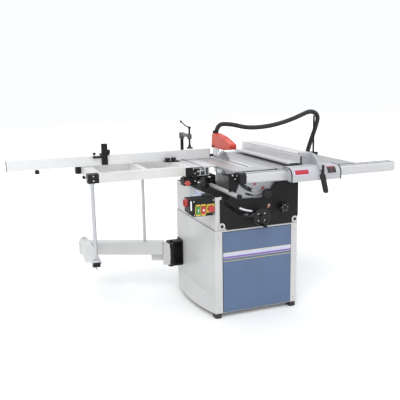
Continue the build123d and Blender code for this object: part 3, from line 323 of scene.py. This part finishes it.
MATERIALS = {
    "grey_coat": painted("grey_coat", LIGHT_GREY),
    "blue_coat": painted("blue_coat", (0.078, 0.126, 0.225)),
    "black_coat": painted("black_coat", (0.010, 0.010, 0.011), 0.42, 0.6),
    "cast_coat": painted("cast_coat", CAST_GREY, 0.36, 0.55, 0.002),
    "motor_coat": painted("motor_coat", (0.06, 0.09, 0.15)),
    "dark_coat": painted("dark_coat", (0.06, 0.062, 0.066)),
    "frame_coat": painted("frame_coat", (0.62, 0.62, 0.605)),
    "cast_top": cast_top("cast_top", (0.46, 0.465, 0.475), 0.45),
    "steel_top": cast_top("steel_top", (0.34, 0.345, 0.355), 0.3, rim=True),
    "alu_x": metal("alu_x", (0.56, 0.565, 0.575), ALONG_X, 0.34, 0.5, metallic=0.45),
    "alu_y": metal("alu_y", (0.64, 0.645, 0.66), ALONG_Y, 0.34, 0.5, metallic=0.45),
    "fence_alu": metal("fence_alu", (0.74, 0.745, 0.75), ALONG_X, 0.34, 0.5, metallic=0.3),
    "tube_steel": metal("tube_steel", (0.50, 0.50, 0.51), ALONG_Y, 0.25, 0.4, metallic=0.35),
    "steel_y": metal("steel_y", (0.55, 0.56, 0.58), ALONG_Y, 0.18, 0.34),
    "steel_z": metal("steel_z", (0.55, 0.56, 0.58), ALONG_Z, 0.18, 0.34),
    "blade_steel": turned_steel("blade_steel", SAW_CENTRE, (0.50, 0.51, 0.53)),
    "carbide": metal("carbide", (0.30, 0.30, 0.32), ALONG_X, 0.3, 0.45),
    "bright_bolt": metal("bright_bolt", (0.68, 0.69, 0.70), (3, 3, 3), 0.16, 0.34),
    "black_moulding": plastic("black_moulding", (0.010, 0.010, 0.011)),
    "knob_moulding": plastic("knob_moulding", (0.010, 0.010, 0.011), 0.25, 0.4, coat=0.1),
    "red_moulding": plastic("red_moulding", (0.42, 0.03, 0.03), 0.3, 0.45, coat=0.1),
    "salmon_moulding": plastic("salmon_moulding", (0.50, 0.09, 0.075), 0.35, 0.5),
    "green_moulding": plastic("green_moulding", (0.06, 0.22, 0.06), 0.3, 0.45, coat=0.1),
    "yellow_moulding": plastic("yellow_moulding", (0.62, 0.46, 0.07), 0.3, 0.45, coat=0.1),
    "orange_moulding": plastic("orange_moulding", (0.30, 0.10, 0.05), 0.3, 0.45),
    "guard": guard_plastic(),
    "rubber": rubber("rubber_black"),
    "hose": rubber("hose_black", (0.012, 0.012, 0.013)),
    "white_print": print_ink("white_print", (0.80, 0.80, 0.82)),
    "lavender_print": print_ink("lavender_print", (0.50, 0.50, 0.62)),
    "purple_print": print_ink("purple_print", (0.16, 0.10, 0.38)),
    "gold_print": print_ink("gold_print", (0.62, 0.48, 0.16)),
    "blue_print": print_ink("blue_print", (0.05, 0.16, 0.48)),
    "plate_print": print_ink("plate_print", (0.34, 0.40, 0.50)),
    "red_print": print_ink("red_print", (0.40, 0.012, 0.03)),
    "dark_print": print_ink("dark_print", (0.015, 0.015, 0.02)),
    "rail_rule": ruler("rail_rule", 0, (0.62, 0.62, 0.60), (0.03, 0.03, 0.03)),
    "fence_rule": ruler("fence_rule", 0, (0.78, 0.78, 0.80), (0.35, 0.35, 0.36)),
    "seam_grey": print_ink("seam_grey", (0.27, 0.27, 0.275)),
}

NODE_LOOKS = {
    "grey_coat": ("cabinet_shell", "upper_housing", "blade_shroud", "swing_arm", "front_arm"),
    "frame_coat": ("outrigger_frame",),
    "blue_coat": ("cabinet_door",),
    "black_coat": ("front_plate", "table_brackets", "hose_post", "arm_hinge_bracket", "slider_carriage",
                   "flip_stop", "clamp_post", "clamp_spindle"),
    "cast_coat": ("trunnion_brackets", "tilt_frame", "arbor_housing", "rip_carriage", "fence_casting"),
    "dark_coat": ("clamp_arm",),
    "motor_coat": ("motor",),
    "cast_top": ("main_table",),
    "steel_top": ("extension_table",),
    "alu_x": ("rip_rail",),
    "fence_alu": ("crosscut_fence",),
    "tube_steel": ("guide_tube",),
    "alu_y": ("slider_table", "rip_fence", "fence_beam", "table_insert"),
    "steel_y": ("handwheel_shaft", "riving_knife"),
    "steel_z": ("support_post", "height_screw"),
    "blade_steel": ("saw_blade", "saw_arbor", "motor_pulley"),
    "black_moulding": ("end_caps", "outrigger_caps", "switch_box", "fence_fittings", "stop_carrier",
                       "dust_port", "guard_fittings"),
    "knob_moulding": ("rise_lock_knob", "tilt_lock_knob", "handwheel", "crank_knob", "lock_lever"),
    "red_moulding": ("stop_button", "emergency_button", "mains_inlet"),
    "salmon_moulding": ("slider_lock_knob",),
    "green_moulding": ("start_button",),
    "guard": ("blade_guard",),
    "rubber": ("rubber_feet", "clamp_pad", "drive_belt"),
    "hose": ("suction_hose",),
}
for look, names in NODE_LOOKS.items():
    for name in names:
        for place in nodes[name].material_slots:
            place.material = MATERIALS[look]


# ---------------------------------------------------------------- mesh pieces
def finish_piece(name, mesh, look, body, smooth=True):
    """Turns a bmesh into a piece that rides on a body."""
    data = bpy.data.meshes.new(name)
    bmesh.ops.recalc_face_normals(mesh, faces=mesh.faces)
    mesh.to_mesh(data)
    mesh.free()
    data.materials.append(MATERIALS[look])
    if smooth:
        data.shade_smooth()
        data.set_sharp_from_angle(angle=math.radians(35))
    made = bpy.data.objects.new(name, data)
    bpy.context.scene.collection.objects.link(made)
    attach(made, body)
    return made


def add_slab(mesh, low, high, edge=0.0):
    """Adds a box between two corners, with its edges rounded off."""
    size = high - low
    made = bmesh.ops.create_cube(mesh, size=1.0)
    corners = made["verts"]
    bmesh.ops.scale(mesh, vec=size, verts=corners)
    bmesh.ops.translate(mesh, vec=(low + high) / 2, verts=corners)
    if edge:
        edges = list({line for corner in corners for line in corner.link_edges})
        bmesh.ops.bevel(mesh, geom=edges, offset=edge * MM, segments=2, affect="EDGES")


def slabs(name, boxes, look, body, edge=0.0):
    """One piece from rounded boxes, each given by low and high corners in millimetres."""
    mesh = bmesh.new()
    for low, high in boxes:
        add_slab(mesh, at(*low), at(*high), edge)
    return finish_piece(name, mesh, look, body)


TURNS = {
    "x": Matrix.Rotation(math.radians(90), 4, "Y"),
    "y": Matrix.Rotation(math.radians(90), 4, "X"),
    "z": Matrix.Identity(4),
}


def add_turned(mesh, centre, direction, profile, segments=32, spin=0.0):
    """Adds a solid of revolution. The profile holds (radius, height) pairs along the direction."""
    rings = []
    turn = Matrix.Translation(centre) @ TURNS[direction]
    for radius, height in profile:
        ring = []
        for step in range(segments):
            angle = 2 * math.pi * step / segments + spin
            corner = Vector((radius * math.cos(angle), radius * math.sin(angle), height)) * MM
            ring.append(mesh.verts.new(turn @ corner))
        rings.append(ring)
    for lower, upper in zip(rings, rings[1:]):
        for step in range(segments):
            following = (step + 1) % segments
            mesh.faces.new((lower[step], lower[following], upper[following], upper[step]))
    mesh.faces.new(rings[0])
    mesh.faces.new(rings[-1])


BOLT_PROFILE = ((7.2, 0), (7.2, 4.6), (6.4, 5.4), (3.8, 5.4), (3.4, 3.0))


def bolts(name, places, direction, look, body, size=1.0, segments=6):
    """Hexagon or round bolt heads on their washers, with a recessed centre."""
    mesh = bmesh.new()
    for place in places:
        washer = ((9.5 * size, 0), (9.5 * size, 1.0), (8.9 * size, 1.5), (7.0 * size, 1.5))
        add_turned(mesh, at(*place), direction, washer, 28)
        head = [(radius * size, height * size + 1.4) for radius, height in BOLT_PROFILE]
        add_turned(mesh, at(*place), direction, head, segments)
    return finish_piece(name, mesh, look, body)


def outline_plate(name, points, depth, look, body, plane="y"):
    """A flat plate with a drawn outline; the plate is thickened away from its plane."""
    mesh = bmesh.new()
    corners = [mesh.verts.new(at(*point)) for point in points]
    face = mesh.faces.new(corners)
    made = bmesh.ops.extrude_face_region(mesh, geom=[face])
    moved = [item for item in made["geom"] if isinstance(item, bmesh.types.BMVert)]
    shift = {"x": Vector((depth, 0, 0)), "y": Vector((0, depth, 0)), "z": Vector((0, 0, depth))}[plane]
    bmesh.ops.translate(mesh, vec=shift * MM, verts=moved)
    return finish_piece(name, mesh, look, body, smooth=False)


def arc_points(centre, radius, start, end, steps):
    """Points (x, z) on an arc, with angles in degrees from +X."""
    points = []
    for step in range(steps + 1):
        angle = math.radians(start + (end - start) * step / steps)
        points.append((centre[0] + radius * math.cos(angle), centre[1] + radius * math.sin(angle)))
    return points


# ---------------------------------------------------------------- suction hose
HOSE_D = 30
RIB_DEPTH = 0.0016
RING_STEP = 0.002
SLEEVE_R = 0.0115
SLEEVE_RINGS = 32
HOSE_ROUTE = [
    (264, 598, 960),
    (264, 598, 1062),
    (352, 546, 1062),
    (440, 508, 1036),
    (565, 494, 1037),
    (690, 488, 1058),
    (805, 468, 1098),
    (880, 450, 1134),
    (938, 447, 1100),
    (930, 462, 1030),
    (917, 490, 950),
    (911, 525, 870),
    (914, 560, 790),
    (890, 612, 735),
    (815, 668, 712),
    (705, 705, 705),
    (590, 722, 680),
    (480, 725, 625),
    (400, 702, 560),
    (375, 672, 500),
    (375, 672, 440),
]


def smooth_line(route, resolution):
    """Points along the NURBS curve whose control points are the route."""
    curve = bpy.data.curves.new("hose_line", "CURVE")
    curve.dimensions = "3D"
    spline = curve.splines.new("NURBS")
    spline.points.add(len(route) - 1)
    for point, place in zip(spline.points, route):
        point.co = (*at(*place), 1)
    spline.order_u = 3
    spline.use_endpoint_u = True
    spline.resolution_u = resolution
    holder = bpy.data.objects.new("hose_line", curve)
    bpy.context.scene.collection.objects.link(holder)
    line = bpy.data.meshes.new_from_object(holder)
    points = [vertex.co.copy() for vertex in line.vertices]
    bpy.data.objects.remove(holder)
    return points


def even_points(points, step):
    """The same line with points an even step apart."""
    spaced = [points[0]]
    needed = step
    for start, end in zip(points, points[1:]):
        length = (end - start).length
        while needed <= length:
            spaced.append(start.lerp(end, needed / length))
            needed += step
        needed -= length
    spaced.append(points[-1])
    return spaced


def corrugated_tube(name, points, radius, groove, look):
    """A tube with a rib on every second ring."""
    mesh = bmesh.new()
    sides = 20
    across = Vector((0, 1, 0))
    rings = []
    for index, point in enumerate(points):
        before = points[max(index - 1, 0)]
        after = points[min(index + 1, len(points) - 1)]
        forward = (after - before).normalized()
        across = (across - across.dot(forward) * forward).normalized()
        side = forward.cross(across)
        ring_radius = radius if index % 4 in (0, 1) else radius - groove
        ring = []
        for step in range(sides):
            angle = 2 * math.pi * step / sides
            corner = point + ring_radius * (math.cos(angle) * across + math.sin(angle) * side)
            ring.append(mesh.verts.new(corner))
        rings.append(ring)
    for lower, upper in zip(rings, rings[1:]):
        for step in range(sides):
            following = (step + 1) % sides
            mesh.faces.new((lower[step], lower[following], upper[following], upper[step]))
    mesh.faces.new(rings[0])
    mesh.faces.new(rings[-1])
    data = bpy.data.meshes.new(name)
    bmesh.ops.recalc_face_normals(mesh, faces=mesh.faces)
    mesh.to_mesh(data)
    mesh.free()
    data.materials.append(MATERIALS[look])
    data.shade_smooth()
    made = bpy.data.objects.new(name, data)
    bpy.context.scene.collection.objects.link(made)
    return made


def add_hose():
    """The hose is built along its route in place of the part's own hose, and a thinner sleeve inside its
    first stretch rises with the guard.
    """
    line = smooth_line(HOSE_ROUTE, 24)
    path = even_points(line, RING_STEP)
    hose = corrugated_tube("hose_corrugated", path, HOSE_D / 2 * MM, RIB_DEPTH, "hose")
    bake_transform(hose)
    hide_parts("suction_hose")
    sleeve = corrugated_tube("hose_sleeve", path[:SLEEVE_RINGS], SLEEVE_R, 0.0, "hose")
    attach(sleeve, "riser")


add_hose()


# ---------------------------------------------------------------- cabinet and housing
def add_cabinet_details():
    """Plain bands on the door, its seal, the housing's seam, screws and louvres."""
    front = -3
    slabs("door_band_light", [((50.5, front - 0.4, 366), (481.5, front, 388))], "lavender_print", "root")
    slabs("door_band_dark", [((50.5, front - 0.4, 355), (481.5, front, 366))], "purple_print", "root")
    slabs("door_band_lines", [
        ((50.5, front - 0.5, 387.5), (481.5, front, 389.5)),
        ((50.5, front - 0.5, 353.5), (481.5, front, 355.5)),
        ((50.5, front - 0.5, 337.5), (481.5, front, 340)),
    ], "gold_print", "root")
    slabs("door_edge_seal", [
        ((47, -1.2, 30), (50, 0, 511)), ((482, -1.2, 30), (485, 0, 511)), ((47, -1.2, 508.5), (485, 0, 511)),
    ], "black_moulding", "root", 0.3)
    slabs("housing_seam", [((5.5, -0.6, 518.6), (526, 0.4, 521.4)), ((-0.4, 1, 518.6), (5.4, 639, 521.4))],
          "seam_grey", "root")
    corners = [(x, 0, z) for x in (25, 505) for z in (60, 480)]
    bolts("cabinet_screws", corners, "y", "bright_bolt", "root", 0.5)
    louvres = []
    for step in range(8):
        height = 590 + step * 22
        louvres.append(((526.5, 180, height), (530.5, 330, height + 5)))
    slabs("side_louvres", louvres, "grey_coat", "root", 1.2)


def add_corner_tabs():
    """Rounded sheet tabs that hold the lower corners of the front plate."""
    for name, x, z in (("tab_left", 43, 545), ("tab_right", 504, 542)):
        mesh = bmesh.new()
        add_turned(mesh, at(x, -4, z), "y", ((19, 0), (19, 3.2), (17.6, 4.2), (9, 4.2)), 36)
        finish_piece(name, mesh, "grey_coat", "root")
        bolts(name + "_bolt", [(x, -8.2, z)], "y", "knob_moulding", "root", 0.95)


def add_tilt_scale():
    """Light arc strip with ticks beside the slot, and the pointer that tilts past it."""
    pivot = (264, 850)
    outer = arc_points(pivot, 242, 242, 262, 20)
    inner = arc_points(pivot, 232, 262, 242, 20)
    outline_plate("scale_strip", [(x, -4.8, z) for x, z in outer + inner], 0.8, "white_print", "root")
    mesh = bmesh.new()
    for step in range(10):
        angle = math.radians(243 + step * 2)
        reach = 7 if step % 5 == 0 else 4
        direction = Vector((math.cos(angle), 0, math.sin(angle)))
        middle = at(pivot[0], -5.0, pivot[1]) + direction * (241 - reach / 2) * MM
        made = bmesh.ops.create_cube(mesh, size=1.0)
        turn = Matrix.Translation(middle) @ Matrix.Rotation(-angle, 4, "Y")
        turn = turn @ Matrix.Diagonal((reach * MM, 0.0006, 0.0012, 1))
        bmesh.ops.transform(mesh, matrix=turn, verts=made["verts"])
    finish_piece("scale_ticks", mesh, "dark_print", "root", smooth=False)
    outline_plate("tilt_pointer", [
        (322, -7.5, 628), (330, -7.5, 648), (342, -7.5, 650), (344, -7.5, 636), (332, -7.5, 622),
    ], 2.2, "orange_moulding", "trunnion")
    bolts("pointer_screw", [(335, -7.5, 641)], "y", "bright_bolt", "trunnion", 0.5, 20)
    bolts("lock_studs", [(268, 10, 762), (287, 10, 740)], "y", "bright_bolt", "root", 0.6)
    bolts("red_studs", [(304, 10, 742), (252, 10, 768)], "y", "red_moulding", "root", 0.8, 20)


def add_info_plate():
    """Plate on the left wall with generic pictograms and a yellow dot."""
    face = 5
    slabs("info_plate", [((face - 1.4, 150, 634), (face, 397, 706))], "plate_print", "root", 0.3)
    whites, blues = [], []
    for step in range(4):
        left = 160 + step * 42
        whites.append(((face - 1.7, left, 672), (face - 1.3, left + 36, 702)))
        blues.append(((face - 2.0, left + 5, 676), (face - 1.6, left + 31, 698)))
        whites.append(((face - 2.3, left + 13, 683), (face - 1.9, left + 23, 691)))
    for step in range(5):
        left = 160 + step * 46
        whites.append(((face - 1.7, left, 638), (face - 1.3, left + 38, 668)))
        blues.append(((face - 2.0, left + 5, 642), (face - 1.6, left + 33, 664)))
        foot, head = 647 + step % 3 * 2, 656 + step % 2 * 4
        whites.append(((face - 2.3, left + 12, foot), (face - 1.9, left + 26, head)))
    slabs("info_white", whites, "white_print", "root")
    slabs("info_blue", blues, "blue_print", "root")
    mesh = bmesh.new()
    turn = Matrix.Rotation(math.radians(180), 4, "Z")
    add_turned(mesh, Vector((0, 0, 0)), "x", ((11, 0), (11, 0.5)), 30)
    bmesh.ops.transform(mesh, matrix=Matrix.Translation(at(face - 1.4, 350, 688)) @ turn, verts=mesh.verts)
    finish_piece("info_dot", mesh, "yellow_moulding", "root")


add_cabinet_details()
add_corner_tabs()
add_tilt_scale()
add_info_plate()


# ---------------------------------------------------------------- switch box
def add_switch_details():
    """Coloured plates, marks and screws of the switch box."""
    slabs("switch_plate", [
        ((-112, -1.4, 618), (-108, 0, 682)),
        ((-82, -1.4, 618), (-77, 0, 682)),
        ((-51, -1.4, 618), (-46, 0, 682)),
        ((-112, -1.4, 672), (-46, 0, 682)), ((-112, -1.4, 618), (-46, 0, 628)),
    ], "yellow_moulding", "root")
    mesh = bmesh.new()
    add_turned(mesh, at(-22, 0, 655), "y", ((23, 0), (23, 2.2), (21.8, 3.2), (13, 3.2)), 40)
    finish_piece("emergency_collar", mesh, "yellow_moulding", "root")
    slabs("switch_strip", [((-139, -0.8, 652), (-131, 0, 704))], "white_print", "root", 0.2)
    slabs("emergency_plate", [((-44, -0.9, 633), (2, 0, 680))], "yellow_moulding", "root", 0.3)
    slabs("button_marks", [
        ((-97, -7.5, 643), (-93, -6.9, 657)),
    ], "white_print", "start")
    slabs("stop_mark", [((-69, -7.5, 645), (-59, -6.9, 655))], "white_print", "stop")
    slabs("switch_lid_seam", [
        ((-146.4, 30, 645), (-145.6, 32, 714)), ((-140, 30, 714.6), (4, 32, 715.4)),
    ], "dark_print", "root")
    bolts("switch_screws", [(-118, 0, 700), (-3, 0, 700), (-3, 0, 623), (-116, 0, 623)], "y",
          "bright_bolt", "root", 0.4, 20)


add_switch_details()


# ---------------------------------------------------------------- rip fence
def carriage_band(name, x, spread, rise, look):
    """A sheet over the carriage's rounded front edge, between two x and two angles in degrees."""
    centre_y, centre_z, radius = -99, 817, 45
    mesh = bmesh.new()
    steps = 14
    rows = []
    for step in range(steps + 1):
        angle = math.radians(spread[0] + (spread[1] - spread[0]) * step / steps)
        row = []
        for reach in (radius - 0.4, radius + rise):
            for side in x:
                y = centre_y - reach * math.cos(angle)
                z = centre_z + reach * math.sin(angle)
                row.append(mesh.verts.new(at(side, y, z)))
        rows.append(row)
    for lower, upper in zip(rows, rows[1:]):
        for first, second in ((0, 1), (1, 3), (3, 2), (2, 0)):
            mesh.faces.new((lower[first], lower[second], upper[second], upper[first]))
    for row in (rows[0], rows[-1]):
        mesh.faces.new((row[0], row[1], row[3], row[2]))
    return finish_piece(name, mesh, look, "rip")


def add_rip_details():
    """Plain films and black rims on the fence's carriage, and the keys on the face's end."""
    carriage_band("fence_sticker", (421, 517), (4, 52), 0.5, "lavender_print")
    carriage_band("fence_sticker_red", (426, 512), (12, 46), 0.8, "red_print")
    carriage_band("window_frame_low", (628, 692), (2, 7), 1.6, "cast_coat")
    carriage_band("window_frame_high", (628, 692), (58, 63), 1.6, "cast_coat")
    carriage_band("window_dark", (632, 688), (7, 58), 0.6, "dark_print")
    carriage_band("window_line", (658, 661), (8, 57), 0.9, "red_print")
    carriage_band("window_top_line", (632, 688), (52, 57), 0.9, "red_print")
    for name, left in (("carriage_rim_left", 401), ("carriage_rim_right", 716)):
        x = (left, left + 6)
        carriage_band(name, x, (0, 90), 1.6, "black_moulding")
        slabs(name + "_front", [((x[0], -145.6, 785), (x[1], -143.6, 817))], "black_moulding", "rip", 0.5)
        slabs(name + "_top", [((x[0], -99, 861.6), (x[1], -42, 863.6))], "black_moulding", "rip", 0.5)
        slabs(name + "_foot", [((x[0], -145.6, 784), (x[1], -97.5, 786))], "black_moulding", "rip", 0.5)
    slabs("rail_scale", [((152, -88, 850.0), (1125, -66, 850.4))], "rail_rule", "root")
    slabs("rail_shadow_strip", [((152, -60, 849.8), (1125, -46, 850.6))], "black_moulding", "root", 0.2)
    teeth = []
    for step in range(9):
        left = 461 + step * 7.4
        teeth.append(((left, -11.4, 864.2), (left + 4.6, -10, 868.4)))
    teeth += [((528, -11.4, 864.2), (544, -10, 868.4)), ((538, -11.4, 868), (544, -10, 880))]
    teeth += [((538, -11.4, 883), (544, -10, 893)), ((534, -11.4, 896), (544, -10, 908))]
    slabs("fence_face_keys", teeth, "black_moulding", "rip_face", 0.3)
    slabs("beam_end_cap", [((545.3, 790, 853.5), (639.7, 793, 916.7))], "black_moulding", "rip", 0.8)


add_rip_details()


# ---------------------------------------------------------------- slider, fence and clamp
def add_slider_details():
    """Rule on the crosscut fence, bolts and the slider's wiper edges."""
    slabs("crosscut_rule", [((-1038, 553, 913), (196, 563, 913.25))], "fence_rule", "crosscut")
    bracket_places = [(92, -45, 836), (120, -45, 832), (108, -45, 814)]
    bolts("bracket_bolts", bracket_places, "y", "bright_bolt", "root", 0.55)
    bolts("cap_screws", [(-606, 265, 812), (-606, 265, 838)], "y", "bright_bolt", "slider", 0.45, 20)
    bolts("slider_screws", [(-20, 234, 770), (-20, 234, 815)], "y", "bright_bolt", "slider", 0.5)
    slabs("slider_wiper", [((-32, 236.2, 795), (70, 237, 799)), ((-32, 236.2, 846), (24, 237, 850))],
          "black_moulding", "slider")


TOOTH_COUNT = 24
TOOTH_AT = Vector((0, 0.1216, 0.0006))
TOOTH_SIZE = (0.0030, 0.0062, 0.0024, 1)


def add_blade_details():
    """Carbide tips around the blade's rim."""
    local = Matrix.Translation(TOOTH_AT) @ Matrix.Diagonal(TOOTH_SIZE)
    mesh = bmesh.new()
    for tooth in range(TOOTH_COUNT):
        turn = Matrix.Rotation(2 * math.pi * tooth / TOOTH_COUNT, 4, "X")
        made = bmesh.ops.create_cube(mesh, size=1.0)
        bmesh.ops.transform(mesh, matrix=Matrix.Translation(SAW_CENTRE) @ turn @ local, verts=made["verts"])
    finish_piece("carbide_teeth", mesh, "carbide", "blade", smooth=False)


add_slider_details()
add_blade_details()


# ---------------------------------------------------------------- wheel and knobs
def add_wheel_details():
    """Cap and windows of the handwheel, cap and marks of the star knob."""
    mesh = bmesh.new()
    add_turned(mesh, at(264, -71.9, 588), "y", ((12, 0), (12, 2.4), (10, 3.6), (4, 4.0), (3.4, 2.0)), 32)
    finish_piece("wheel_cap", mesh, "knob_moulding", "handwheel")
    mesh = bmesh.new()
    for quarter in range(4):
        angle = math.radians(45 + 90 * quarter)
        made = bmesh.ops.create_cube(mesh, size=1.0)
        middle = Vector((28 * math.cos(angle), 0, 28 * math.sin(angle))) * MM
        turn = Matrix.Translation(at(264, -56, 588) + middle) @ Matrix.Rotation(-angle, 4, "Y")
        size = Matrix.Diagonal((0.005, 0.002, 0.015, 1))
        bmesh.ops.transform(mesh, matrix=turn @ size, verts=made["verts"])
    finish_piece("wheel_windows", mesh, "white_print", "handwheel", smooth=False)
    mesh = bmesh.new()
    add_turned(mesh, at(417, -48, 625), "y", ((13, 0), (13, 1.2), (11, 2.2), (5, 2.6)), 30)
    finish_piece("star_cap", mesh, "black_moulding", "tilt_lock")
    marks = []
    for step in range(5):
        angle = math.radians(90 + 72 * step)
        x, z = 417 + 17 * math.cos(angle), 625 + 17 * math.sin(angle)
        marks.append(((x - 2.4, -48.6, z - 2.4), (x + 2.4, -47.8, z + 2.4)))
    slabs("star_marks", marks, "seam_grey", "tilt_lock", 0.3)


def add_arm_details():
    """Sleeve, shoe and nut of the support arms."""
    slabs("arm_strip", [((-121, 567, 205), (-119, 571, 300))], "white_print", "arm_one")
    mesh = bmesh.new()
    sleeve = ((24.3, 0), (25, 1), (25, 30), (24.4, 31), (24.4, 108), (25, 109), (25, 139), (24.3, 140))
    add_turned(mesh, at(-75, 550, 183), "z", sleeve, 40)
    finish_piece("hinge_sleeve", mesh, "black_moulding", "arm_one")
    slabs("post_shoe", [((-633.5, 274.5, 312), (-590.5, 309.5, 342))], "black_moulding", "arm_two", 2)
    mesh = bmesh.new()
    add_turned(mesh, at(-590, 790, 351), "z",
               ((13, 0), (13, 2), (10, 2), (10, 8), (8.6, 9.4), (3, 9.4)), 6)
    finish_piece("elbow_nut", mesh, "bright_bolt", "arm_one")


add_wheel_details()
add_arm_details()


# ---------------------------------------------------------------- floor and light
def add_floor():
    """Plain pale floor."""
    mesh = bmesh.new()
    bmesh.ops.create_grid(mesh, x_segments=2, y_segments=2, size=14)
    data = bpy.data.meshes.new("floor")
    mesh.to_mesh(data)
    mesh.free()
    paint = Paint("floor_pale")
    paint.color(paint.ramp(paint.noise(2, 3), ((0.3, (0.86, 0.86, 0.86)), (0.7, (0.9, 0.9, 0.9)))))
    paint.shader.inputs["Roughness"].default_value = 0.85
    data.materials.append(paint.material)
    floor = bpy.data.objects.new("floor", data)
    floor.location.z = -0.0005
    bpy.context.scene.collection.objects.link(floor)


def add_sun(name, direction, strength, angle):
    """A soft far light that comes from the given direction."""
    data = bpy.data.lights.new(name, "SUN")
    data.energy = strength
    data.angle = math.radians(angle)
    lamp = bpy.data.objects.new(name, data)
    lamp.rotation_euler = (-Vector(direction)).to_track_quat("-Z", "Y").to_euler()
    bpy.context.scene.collection.objects.link(lamp)


def add_lighting():
    """Plain bright studio with three soft lamps."""
    world = bpy.data.worlds.new("studio")
    world.use_nodes = True
    background = world.node_tree.nodes["Background"]
    background.inputs["Color"].default_value = (0.97, 0.985, 1.0, 1)
    background.inputs["Strength"].default_value = 1.0
    bpy.context.scene.world = world
    bpy.context.scene.view_settings.view_transform = "Standard"
    add_sun("key", (-0.45, -0.75, 1.0), 1.25, 35)
    add_sun("fill", (0.9, -0.5, 0.8), 0.3, 60)
    add_sun("rim", (0.1, 0.9, 0.9), 0.3, 50)


add_floor()
add_lighting()
